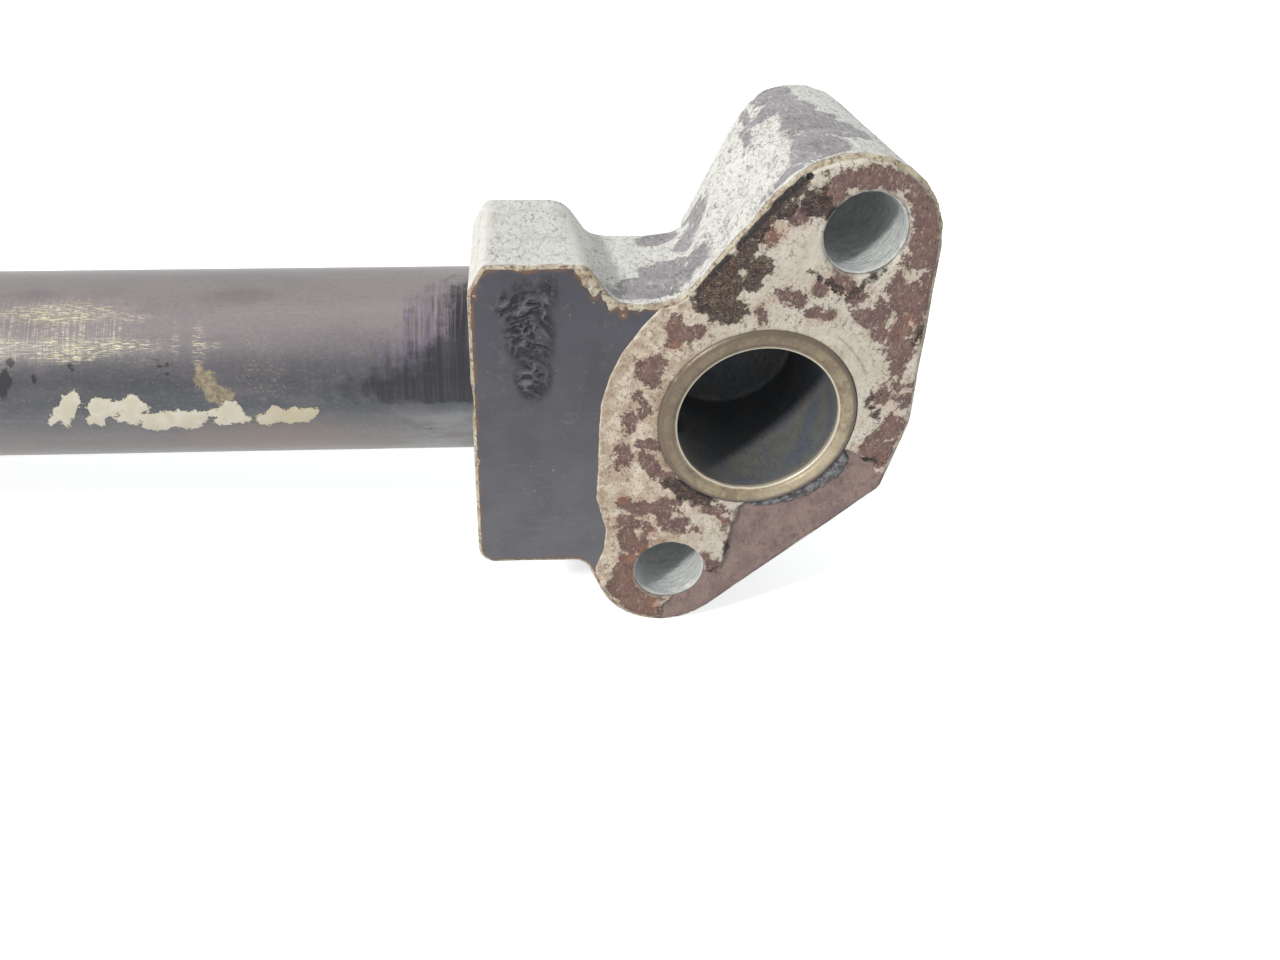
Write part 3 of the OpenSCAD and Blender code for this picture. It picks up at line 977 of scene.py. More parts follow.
WOVEN = [
    (57.5, 11.8, 8.5, 4.6), (66, 11, 12, 5), (60, 15, 9, 1.6), (96, 12, 12, 4), (170, 12, 14, 5),
    (214, 4, 16, 3.4), (262, 10, 18, 5), (200, -26, 18, 5),
]
# Where heat has left it near black, and violet
SCORCHED = [(2, 2.4, 12, 3.4), (0, 5.4, 8, 4.6), (9, 2.4, 8, 2.6), (1, 12, 2.8, 7)]
VIOLET = [(3.6, 11, 5.6, 7), (8, 7, 5, 3)]
# Brown patches, grey smudges and dark specks
BROWNED = [(30, -7.4, 13, 3.4), (120, -12, 20, 5), (210, 26, 26, 6), (60, 38, 20, 5)]
SMUDGED = [(33.5, 17.2, 4.5, 1.4), (62.5, 17.6, 3.4, 1.2), (110, 16, 10, 2), (230, 18, 12, 3)]
SPECKS = [
    (43.8, 6.1, 0.9, 0.16), (44.5, 7, 0.5, 0.22), (43.2, 5, 0.5, 0.24), (44.2, 4.8, 0.4, 0.3),
    (42.8, 6.6, 0.4, 0.14), (44.9, 5.9, 0.3, 0.14), (56.3, 5.9, 0.5, 0.3), (56.6, 6.7, 0.3, 0.2),
    (61.8, 4.6, 0.4, 0.8), (64.8, 7, 0.7, 0.8), (65.6, 4.6, 0.8, 1.6), (66.4, 3.2, 0.7, 1.6),
    (6.4, -5.2, 0.7, 0.2, 15), (6, -6, 0.4, 0.16), (140, 14, 1.6, 1), (232, -10, 2.4, 1.4),
]


def build_tube(look):
    """The tube, turned from its section, with its film's chips and hollows pressed in."""
    chamfer, sunk = 0.4, 0.8
    first, last = CHIPPED
    rings = np.concatenate([
        np.arange(-sunk, first, 0.7), np.arange(first, last, look.tube_grain), np.arange(last, 90, 0.9),
        np.arange(90, TUBE_LENGTH - 1, 1.6)])
    section = [(TUBE_R, h) for h in rings] + [
        (TUBE_R, TUBE_LENGTH - chamfer), (TUBE_R - chamfer, TUBE_LENGTH), (BORE_R + 0.2, TUBE_LENGTH),
        (BORE_R, TUBE_LENGTH - 0.3)]
    section += [(BORE_R, h) for h in np.linspace(TUBE_LENGTH - 6, 0, 24)] + [(BORE_R, -sunk)]
    finish = tube_finish(look)
    p, faces = turned(section, (TUBE_R + BORE_R) / 2, look.tube_segments, finish)
    along, up, out = p.T
    reach = np.hypot(up, out)
    angle = np.arctan2(up, out)
    unrolled = np.stack([along, angle * TUBE_R, np.zeros(len(p))], 1)
    chips = [-outline_distance(unrolled, outline) for outline in CHIPS]
    chips = np.maximum.reduce([*chips, strokes(unrolled, FAR_CHIPS)])
    stained = -outline_distance(unrolled, STAINED)
    bare = np.clip((np.maximum(chips, stained) + 0.25 * fray(unrolled, 1.2, 111)) / 0.3, 0, 1)
    hollow = 0.05 + 0.03 * (1 - lumps(p, (30.0, 9.0, 9.0), 113)) + 0.02 * np.clip(lumps(p, 2.0, 115), 0, 1)
    hollow = np.where(bare > 0, hollow - 0.05 * bare, hollow)
    ends = np.clip((TUBE_LENGTH - 0.6 - along) / 0.5, 0, 1)
    grow = 1 - np.clip((reach - BORE_R - 1) / 0.5, 0, 1) * np.maximum(hollow, 0) * ends / reach
    local = np.stack([TUBE_SIDE - along, TUBE_RISE + up * grow, TUBE_Z + out * grow], 1)
    outer = (reach > TUBE_R - 0.1) & (along < TUBE_LENGTH - 0.1)
    marks = {"chips": chips, "stained": stained}
    for mark, places in (
            ("bright", BRIGHT), ("speckled", SPECKLED), ("woven", WOVEN), ("scorched", SCORCHED),
            ("violet", VIOLET), ("smudged", SMUDGED), ("browned", BROWNED), ("specks", SPECKS)):
        marks[mark] = spots(unrolled, places)
    marks = {mark: np.where(outer, np.clip(values, -4, 4), -4) for mark, values in marks.items()}
    marks |= {
        "up": np.sin(angle), "out": np.cos(angle), "along": along, "round": angle * TUBE_R,
        "bore": (reach < BORE_R + 0.1).astype(float),
    }
    return make_piece("tube", local, faces, finish, marks, ["pipe"])


# Nicks in the eyelet, as degrees round it, radius and half sizes
EYELET_NICKS = [(-117, 12.2, 5, 0.8), (-95, 12.1, 4, 0.7), (148, 14.6, 3, 0.9), (-32, 14.9, 6, 0.6)]


def build_eyelet(look):
    """The rolled lip, turned from its section, then sagged and nicked."""
    h = look.eyelet_height
    section = [
        (PORT_R, -0.3), (PORT_R, h - 0.55), (12.08, h - 0.4), (12.3, h - 0.34), (12.5, h - 0.42),
        (12.65, h - 0.3), (12.85, h - 0.1), (13.15, h - 0.02), (13.6, h), (14.1, h - 0.06),
        (14.5, h - 0.18), (14.8, h - 0.38), (14.96, h - 0.62), (EYELET_R, h - 0.85), (EYELET_R, -0.3)]
    finish = eyelet_finish(look)
    p, faces = turned(section, (PORT_R + EYELET_R) / 2, 240, finish)
    high, up, out = p.T
    reach, angle = np.hypot(up, out), np.arctan2(up, out)
    top = np.clip(high / h, 0, 1)
    sag = 0.05 * lumps(p, 6.0, 121) + 0.025 * lumps(p, 1.6, 123)
    nick = 0.18 * np.clip(spots(np.stack([np.degrees(angle), reach], 1), EYELET_NICKS) / 0.4, 0, 1)
    swell = 1 - np.abs(0.03 * lumps(p, 5.0, 125)) / reach
    local = np.stack([out * swell, up * swell, high - top * (np.abs(sag) + nick)], 1)
    marks = {"inner": 13.0 - reach}
    return make_piece("gasket_eyelet_ring", local, faces, finish, marks, ["gasket_eyelet"])


# Width of the bead of sealant at each angle in degrees, and the radius that it starts from
BEAD_WIDTHS = [(-99, 0.1), (-92, 0.7), (-80, 1.3), (-66, 1.9), (-48, 2.4), (-33, 2.8), (-26, 2), (-21, 0.3)]
BEAD_FROM = 14.9


def build_seal_bead():
    """The bead of old sealant pressed out along the eyelet's lower right."""
    rows = []
    for a in np.radians(np.linspace(-99, -21, 150)):
        width = np.interp(math.degrees(a), *zip(*BEAD_WIDTHS))
        width += min(width, 1) * (0.12 * math.sin(a * 37) + 0.08 * math.sin(a * 83))
        high = 0.16 + 0.34 * min(1, width / 1.4)
        ring = []
        for k in range(9):
            u = k / 8
            arch = high * math.sin(math.pi * (0.12 + 0.88 * u)) ** 0.7 if u < 1 else -0.05
            ring.append((BEAD_FROM + width * u, arch))
        ring += [(BEAD_FROM + width, -ROOTED), (BEAD_FROM, -ROOTED)]
        rows.append([(r * math.cos(a), r * math.sin(a), z) for r, z in ring])
    n = len(rows[0])
    p = np.array(rows).reshape(-1, 3)
    top = p[:, 2] > 0
    p[:, 2] += np.where(top, 0.07 * rough(p, 1.1, 131), 0)
    faces = [
        (i * n + k, i * n + (k + 1) % n, (i + 1) * n + (k + 1) % n, (i + 1) * n + k)
        for i in range(len(rows) - 1) for k in range(n)]
    faces += [tuple(range(n))[::-1], tuple((len(rows) - 1) * n + k for k in range(n))]
    return make_piece("seal_bead", p, faces, bead_finish(), {}, [])


# ---------------------------------------------------------------- finishes

def tone(red, green, blue):
    """A colour as seen, from 0 to 255, as the value that shaders use."""
    seen = [c / 255 for c in (red, green, blue)]
    return (*[c / 12.92 if c <= 0.04045 else ((c + 0.055) / 1.055) ** 2.4 for c in seen], 1.0)


class Finish:
    """One material's node tree, in short calls. Its lengths are millimetres in the block's plane.

    A colour is red, green and blue as seen, from 0 to 255, one of a look's, or a node's output.
    """

    def __init__(self, name, roughness=0.5, metallic=0.0):
        self.material = bpy.data.materials.new(name)
        self.material.use_nodes = True
        self.tree = self.material.node_tree
        self.shader = self.tree.nodes["Principled BSDF"]
        self.shader.inputs["Roughness"].default_value = roughness
        self.shader.inputs["Metallic"].default_value = metallic
        own = self.node("TexCoord", "Object")
        self.place = self.node("Mapping", Vector=own, Rotation=(0, REST_TILT, 0), Scale=(1 / MM,) * 3)
        self.heights = []

    def node(self, kind, output=0, settings=None, **inputs):
        return Wire(add_node(self.tree, "ShaderNode" + kind, settings, **inputs).outputs[output])

    def lay(self, base, colour, mask, amount=1.0):
        """A colour laid over another where a mask is 1, as strongly as the amount says."""
        mix = add_node(self.tree, "ShaderNodeMix", {"data_type": "RGBA"})
        feed(mix.inputs["Factor"], mask if amount == 1.0 else mask * amount)
        for socket, value in zip(mix.inputs[6:8], (base, colour)):
            if not isinstance(value, Wire):
                value = tone(*value) if isinstance(value, tuple) else (*value, 1)
            feed(socket, value)
        return Wire(mix.outputs[2])

    def mark(self, name):
        return self.node("Attribute", "Fac", {"attribute_name": name})

    def parts(self):
        """The three coordinates: across, depth behind the face, and height."""
        return [Wire(out) for out in add_node(self.tree, "ShaderNodeSeparateXYZ", Vector=self.place).outputs]

    def ramp(self, value, stops):
        """Colours along a value, given as place and colour."""
        ramp = add_node(self.tree, "ShaderNodeValToRGB", Fac=value)
        elements = ramp.color_ramp.elements
        while len(elements) < len(stops):
            elements.new(0.5)
        for element, (at, colour) in zip(elements, stops):
            element.position, element.color = at, tone(*colour)
        return Wire(ramp.outputs["Color"])

    def noise(self, size, detail=3.0, roughness=0.55, at=None, turn=(0, 0, 0), warp=0.0):
        scale = tuple(1 / s for s in (size if isinstance(size, tuple) else (size,) * 3))
        spread = self.node("Mapping", Vector=at or self.place, Rotation=turn, Scale=scale)
        return self.node(
            "TexNoise", "Fac", Vector=spread, Scale=1.0, Detail=detail, Roughness=roughness, Distortion=warp)

    def ragged(self, mark, size, amount, soft=0.12, detail=4.0, roughness=0.65):
        """1 inside a mark, with an edge made irregular by noise."""
        shake = (self.noise(size, detail, roughness) - 0.5) * (amount * 2)
        return ((self.mark(mark) if isinstance(mark, str) else mark) + shake).band(-soft, soft)

    def mottle(self, size, low, high, first, second, **noise):
        return self.lay(first, second, self.noise(size, **noise).band(low, high))

    def polar(self):
        """Turn round the port and distance from it, as a vector whose x follows the turn."""
        across, _, height = self.parts()
        turn = across.math("ARCTAN2", height, across)
        reach = across.math("SQRT", across * across + height * height)
        return self.node("CombineXYZ", X=turn * 18, Y=reach * 0.06)

    def height(self, value, millimetres):
        self.heights.append((value, millimetres))

    def done(self, colour, roughness=None):
        feed(self.shader.inputs["Base Color"], colour)
        if roughness is not None:
            feed(self.shader.inputs["Roughness"], roughness)
        normal = {}
        for value, millimetres in self.heights:
            bump = self.node("Bump", Height=value, Distance=millimetres * MM, Strength=1.0, **normal)
            normal = {"Normal": bump}
        if normal:
            feed(self.shader.inputs["Normal"], normal["Normal"])
        return self.material


def casting_finish(look):
    """Pale bare casting with flecks, dark and brown stains, worn edges and bright drilled holes."""
    f = Finish("weathered_casting", 0.55)
    depth = f.parts()[1]
    pale = f.mottle(7, 0.35, 0.65, look.bare_colour, (230, 230, 224))
    patchy = f.noise(2.4, 6, 0.75, warp=0.6).band(0.5, 0.62)
    pale = f.lay(pale, (198, 196, 186), patchy, 0.5)
    dense = 0.35 + f.noise(5, 3).band(0.42, 0.62) * 0.6
    flecks = f.noise((0.6, 1.7, 1.5), 6, 0.8, warp=0.9).band(0.535, 0.595)
    pale = f.lay(pale, (128, 122, 116), flecks * dense)
    pale = f.lay(pale, (150, 143, 133), f.noise(0.33, 6, 0.8).band(0.54, 0.6), 0.5)
    cream = f.mottle(2.4, 0.35, 0.65, (206, 197, 176), (176, 162, 138), detail=4)
    cream = f.lay(cream, (112, 90, 77), f.noise(0.8, 6, 0.75).band(0.5, 0.58), 0.8)
    front = depth.band(0.55, 0.35)
    colour = f.lay(pale, cream, front)
    scale = f.mottle(4, 0.4, 0.6, (142, 121, 113), (122, 103, 100), detail=6, roughness=0.7)
    scale = f.lay(scale, (108, 88, 84), f.noise(1.8, 5, 0.7, warp=0.8).band(0.54, 0.68))
    scale = f.lay(scale, (112, 108, 113), f.noise(2.6, 4, warp=1).band(0.6, 0.75), 0.5)
    scale = f.lay(scale, (96, 78, 78), f.noise(0.5, 5, 0.75).band(0.58, 0.68), 0.5)
    scale = f.lay(scale, (106, 86, 82), f.mark("scale").band(0.55, 0.1))
    colour = f.lay(colour, scale, f.ragged("scale", 1, 0.3, 0.08))
    stain = f.mottle(5, 0.3, 0.7, look.stain_colour, (124, 119, 126), detail=4)
    scraped = f.noise((0.8, 3, 1.6), 6, 0.75, warp=0.9).band(0.57, 0.62)
    stain = f.lay(stain, (214, 213, 208), scraped, 0.8)
    stained = f.ragged(f.mark("stain") + 0.2, 2.4, 1.9, 0.3, 7)
    stained = stained * depth.band(0.9, 1.5)
    colour = f.lay(colour, stain, stained, 0.85)
    beside = f.mark("stain").band(-4.2, -0.3) * depth.band(0.9, 1.5)
    dashes = f.noise((0.5, 1.1, 1.3), 7, 0.8, turn=(0, 0.5, 0), warp=0.7).band(0.525, 0.575)
    colour = f.lay(colour, (112, 100, 92), beside * dashes, 0.6)
    under = (1 - f.mark("top")) * depth.band(0.6, 1)
    dark = f.mottle(6, 0.35, 0.65, look.paint_colour, (96, 88, 92), detail=4)
    dark = f.lay(dark, (150, 140, 132), f.noise(0.7, 5, 0.75).band(0.56, 0.66), 0.5)
    colour = f.lay(colour, dark, f.ragged("stain", 2.4, 2.6, 0.15, 6) * under)
    shake = (f.noise(1.3, 6, 0.75) - 0.5) * 2
    worn = (f.mark("edge") + shake).band(0.75, 0.35)
    worn = worn * depth.band(0.25, 0.45)
    colour = f.lay(colour, (232, 229, 220), worn, 0.8)
    line = abs(depth - 0.5).band(0.2, 0.08) * f.noise(3, 5).band(0.42, 0.56)
    colour = f.lay(colour, (112, 90, 78), line, 0.75)
    metal = f.mottle(1.8, 0.35, 0.7, (224, 229, 229), (242, 243, 240), detail=5, warp=1.2)
    metal = f.lay(metal, (168, 172, 172), f.noise(0.8, 5, 0.7, warp=1.4).band(0.55, 0.7), 0.4)
    scuffed = f.noise((3, 0.5, 3), 6, 0.75, turn=(0.25, 0, 0.2), warp=0.6)
    metal = f.lay(metal, (166, 172, 174), scuffed.band(0.5, 0.62), 0.5)
    in_hole = f.mark("hole").band(-0.15, 0.05)
    colour = f.lay(colour, metal, in_hole)
    inside = f.mottle(5, 0.35, 0.7, (94, 99, 109), (110, 109, 103), detail=4)
    inside = f.lay(inside, (136, 131, 116), f.noise(0.9, 5, 0.7).band(0.62, 0.7), 0.4)
    in_port = f.mark("port").band(-0.15, 0.05)
    colour = f.lay(colour, inside, in_port)
    f.height(f.noise(0.45, 4), 0.05)
    f.height(f.noise(2, 5, 0.65), 0.09)
    f.height(flecks, 0.03)
    f.height(scuffed * in_hole, 0.6)
    return f.done(colour)


def paint_finish(look):
    """Dark old paint, paler and brushed lower down, with scratches, folds and a brown rim, painted shade in
    the folds' creases and painted highlights on their crests.
    """
    f = Finish("old_paint", 0.4)
    parts = f.parts()
    lower = (parts[2] + f.noise(9) * 14).band(24, -16)
    upper_paint = f.mottle(9, 0.3, 0.7, look.paint_colour, (62, 62, 70))
    colour = f.lay(upper_paint, f.mottle(6, 0.3, 0.7, (97, 97, 103), (86, 85, 91)), lower)
    brushed = f.noise((5, 3, 0.3), 4, 0.65, warp=0.4).band(0.54, 0.74)
    colour = f.lay(colour, (122, 121, 127), brushed * lower, 0.4)
    colour = f.lay(colour, (68, 66, 72), f.noise(0.5, 5, 0.75).band(0.56, 0.68), 0.45)
    colour = f.lay(colour, (116, 113, 119), f.noise(3, 6, 0.75, warp=0.5).band(0.55, 0.68), 0.3)
    scratch = f.noise((5, 1, 0.12), 3, 0.6, turn=(0, 0.5, 0)).band(0.68, 0.74)
    scratch = scratch.larger(f.noise((0.12, 1, 4), 3, 0.6, turn=(0, -0.4, 0)).band(0.7, 0.76))
    colour = f.lay(colour, (152, 148, 152), scratch, 0.5)
    colour = f.lay(colour, (176, 170, 164), f.noise(0.55, 2).band(0.74, 0.78), 0.8)
    folds = f.ragged("folds", 1.4, 0.8, 0.6)
    # Painted shade: near black in the low creases between the folds
    painted_crease_shade = f.mark("lift").band(0.16, 0.05)
    colour = f.lay(colour, (24, 25, 31), folds * painted_crease_shade, 0.92)
    # Painted highlight: lighter on the high crests of the folds
    painted_crest_highlight = folds * f.mark("lift").band(0.26, 0.42)
    colour = f.lay(colour, (128, 126, 134), painted_crest_highlight, 0.5)
    rim = f.mark("rim").band(0.75, 0.1)
    colour = f.lay(colour, (112, 84, 68), rim * f.noise(2.4, 4).band(0.36, 0.6))
    f.height(f.noise(0.45, 5, 0.7), 0.05)
    f.height(brushed, 0.02)
    f.height(f.noise((1, 1, 0.5), 4, 0.7, warp=1.2) * folds, 0.3)
    return f.done(colour)


def crumb_finish():
    """Dark red-brown crumbs."""
    f = Finish("rust_crumbs", 0.8)
    colour = f.mottle(0.7, 0.35, 0.65, (64, 48, 48), (108, 78, 72), detail=4)
    return f.done(f.lay(colour, (138, 110, 92), f.noise(0.4, 3).band(0.6, 0.7)))


def fibre_finish():
    """Straw and brown fibres."""
    f = Finish("loose_fibres", 0.7)
    return f.done(f.mottle(0.9, 0.35, 0.65, (176, 156, 122), (104, 84, 66), detail=3))


def gasket_finish(look):
    """Pale dry fibre with scoring, flaking rust, burnt grime and a light torn rim, a painted shadow line
    along its burnt edges and painted shade in the pin hole.
    """
    f = Finish("gasket_layer", 0.66)
    parts = f.parts()
    leftward = (parts[0] + f.noise(5, 4) * 9).band(2, -12)
    fresh = f.mottle(4, 0.35, 0.65, look.gasket_colour, (196, 187, 171), detail=6)
    tan = f.mottle(2.6, 0.4, 0.6, (218, 206, 187), (184, 167, 147), detail=6, roughness=0.7)
    base = f.lay(fresh, tan, leftward)
    rays = f.polar()
    scored = f.noise((0.16, 1, 1), 4, 0.65, at=rays, warp=0.3).band(0.56, 0.66)
    near_ring = f.noise(4, 3).band(0.4, 0.6)
    base = f.lay(base, (150, 132, 108), scored * near_ring, 0.5)
    pale_rays = f.noise((0.13, 1.4, 1), 4, 0.65, at=rays, warp=0.3).band(0.58, 0.68)
    base = f.lay(base, (226, 220, 204), pale_rays, 0.4)
    pitted = f.noise(0.42, 6, 0.8).band(0.53, 0.61)
    base = f.lay(base, (126, 106, 90), pitted * (0.4 + leftward * 0.35))
    base = f.lay(base, (158, 132, 112), f.noise(1.5, 5, 0.7, warp=0.7).band(0.57, 0.66), 0.45)
    browned = f.mark("rim").band(2.8, 0.3) * leftward * f.noise(1.2, 6, 0.75).band(0.4, 0.56)
    base = f.lay(base, (148, 122, 100), browned, 0.55)
    faint = f.ragged(f.mark("rust") + 0.55, 2.4, 2.6, 0.5, 6)
    base = f.lay(base, (168, 130, 110), faint, 0.28)
    rust = f.mottle(1.2, 0.44, 0.57, look.rust_colour, (82, 56, 58), detail=7, roughness=0.78, warp=0.5)
    rust = f.lay(rust, (132, 98, 86), f.ragged(f.mark("rust") - 0.55, 1.6, 1.6, 0.5, 6), 0.5)
    rust = f.lay(rust, (78, 55, 59), f.noise(4.2, 6, 0.7, warp=0.8).band(0.48, 0.4), 0.6)
    rust = f.lay(rust, (70, 50, 52), f.noise(0.36, 6, 0.8).band(0.53, 0.6), 0.6)
    rust = f.lay(rust, (172, 148, 130), f.noise((0.45, 1, 0.8), 6, 0.8).band(0.54, 0.61), 0.5)
    rusty = f.ragged(f.mark("rust") + 0.22, 2, 3.4, 0.1, 9, 0.8)
    bare = f.noise((0.4, 1, 0.8), 7, 0.8).band(0.55, 0.6)
    rusty = rusty * (1 - bare * 0.8)
    colour = f.lay(base, rust, rusty, 0.93)
    around = (f.mark("rust") + f.noise(3, 4) * 3).band(-2.4, 0.6)
    freckles = f.noise((0.62, 1, 0.8), 7, 0.8, warp=0.4).band(0.545, 0.585) * around
    colour = f.lay(colour, (104, 74, 68), freckles, 0.8)
    stain = f.ragged("orange", 1.6, 1.2, 0.5, 5)
    colour = f.lay(colour, (166, 104, 76), stain, 0.28)
    grime = f.ragged(f.mark("burnt") + 0.25, 1, 1.7, 0.18, 7)
    soot = f.mottle(0.9, 0.42, 0.6, (40, 33, 37), (78, 62, 60), detail=6, warp=0.5)
    soot = f.lay(soot, (160, 139, 110), f.noise((1.1, 1, 0.35), 6, 0.75, warp=1.3).band(0.54, 0.6), 0.8)
    colour = f.lay(colour, soot, grime, 0.94)
    rim = f.mark("rim").band(0.35, 0) * f.noise(2, 4).band(0.4, 0.6)
    colour = f.lay(colour, (222, 217, 206), rim, 0.6)
    # Near black along the gasket's edge by the burnt places: burnt grime, and a painted shadow line along
    # the edge
    burnt_edge_and_shadow_line = f.mark("rim").band(0.9, 0.4) * (f.mark("burnt") + f.noise(1.6, 4)).band(-0.3, 0.5)
    colour = f.lay(colour, (30, 26, 28), burnt_edge_and_shadow_line, 0.95)
    score = f.mark("score").band(-0.26, -0.06) * f.noise(1.4, 5).band(0.36, 0.5)
    colour = f.lay(colour, (104, 90, 76), score, 0.5)
    # Painted shade: the pin hole near black
    colour = f.lay(colour, (26, 24, 26), f.mark("pin").band(-0.06, 0.06))
    f.height(f.noise(0.4, 5, 0.7), 0.05)
    f.height(f.noise((0.2, 1.4, 1), 4, at=rays), 0.03)
    f.height(rusty, 0.05)
    f.height(grime * f.noise(0.9, 6, 0.7, warp=0.8), 0.35)
    return f.done(colour)


def eyelet_finish(look):
    """Dull brass, with painted shade towards its upper left and on its outer slope, a painted shadow line
    outside its lower right, a painted highlight on its inner lower right, and a bright inner lip.
    """
    f = Finish("eyelet_brass", 0.4, 0.35)
    base = f.mottle(2.5, 0.4, 0.6, look.eyelet_colour, (126, 111, 92), detail=6, roughness=0.7)
    base = f.lay(base, (184, 171, 146), f.noise(0.7, 6, 0.75).band(0.54, 0.64), 0.6)
    base = f.lay(base, (92, 80, 68), f.noise(0.5, 6, 0.8).band(0.54, 0.6), 0.55)
    base = f.lay(base, (110, 92, 74), f.noise(1.4, 4, warp=0.8).band(0.58, 0.7), 0.6)
    parts = f.parts()
    side = parts[2] - parts[0]
    # Painted shade: the brass darkens towards its upper left, away from the light
    painted_shade = (side + f.noise(5) * 10).band(-4, 16)
    base = f.lay(base, (110, 97, 82), painted_shade, 0.62)
    # Painted highlight: lighter on the inner lower right, where the light falls on the lip
    painted_highlight = (side + f.noise(4) * 8).band(-6, -17)
    painted_highlight = painted_highlight * f.mark("inner").band(-1.3, -0.5)
    base = f.lay(base, (212, 200, 174), painted_highlight, 0.45)
    worn = f.mark("inner").band(0.62, 0.85)
    base = f.lay(base, (224, 217, 200), worn, 0.7)
    # Painted shade on the outer slope of the lip, stronger towards the lower right
    painted_skirt_shade = f.mark("inner").band(-0.9, -1.35) * (0.55 + side.band(14, -2) * 0.3)
    base = f.lay(base, (98, 86, 77), painted_skirt_shade)
    # Painted shadow line just outside the lower right of the lip
    outer = f.mark("inner").band(-1.45, -1.75) * side.band(2, -8)
    base = f.lay(base, (40, 36, 36), outer, 0.9)
    f.height(f.noise(0.5, 5), 0.04)
    f.height(f.noise(2.6, 3), 0.08)
    return f.done(base)


def bead_finish():
    """Nearly black sealant with a wet shine."""
    f = Finish("old_sealant", 0.14)
    f.height(f.noise(0.9, 4), 0.2)
    return f.done(f.mottle(1, 0.4, 0.62, (48, 46, 50), (122, 122, 126), detail=5))


# Tones of the tube's film from its underside, at 0, to its top, at 1, with painted reflection: a dark band a
# little above the middle, lighter above and below it
FILM_TONES_WITH_PAINTED_REFLECTION = [
    (0, (104, 102, 98)), (0.14, (112, 107, 104)), (0.3, (124, 121, 121)), (0.44, (98, 99, 103)),
    (0.5, (76, 80, 86)), (0.56, (76, 79, 84)), (0.63, (68, 70, 76)), (0.7, (86, 85, 90)),
    (0.78, (115, 110, 113)), (0.86, (139, 130, 132)), (0.92, (147, 138, 140)), (0.96, (144, 134, 135)),
    (1, (140, 134, 134)),
]


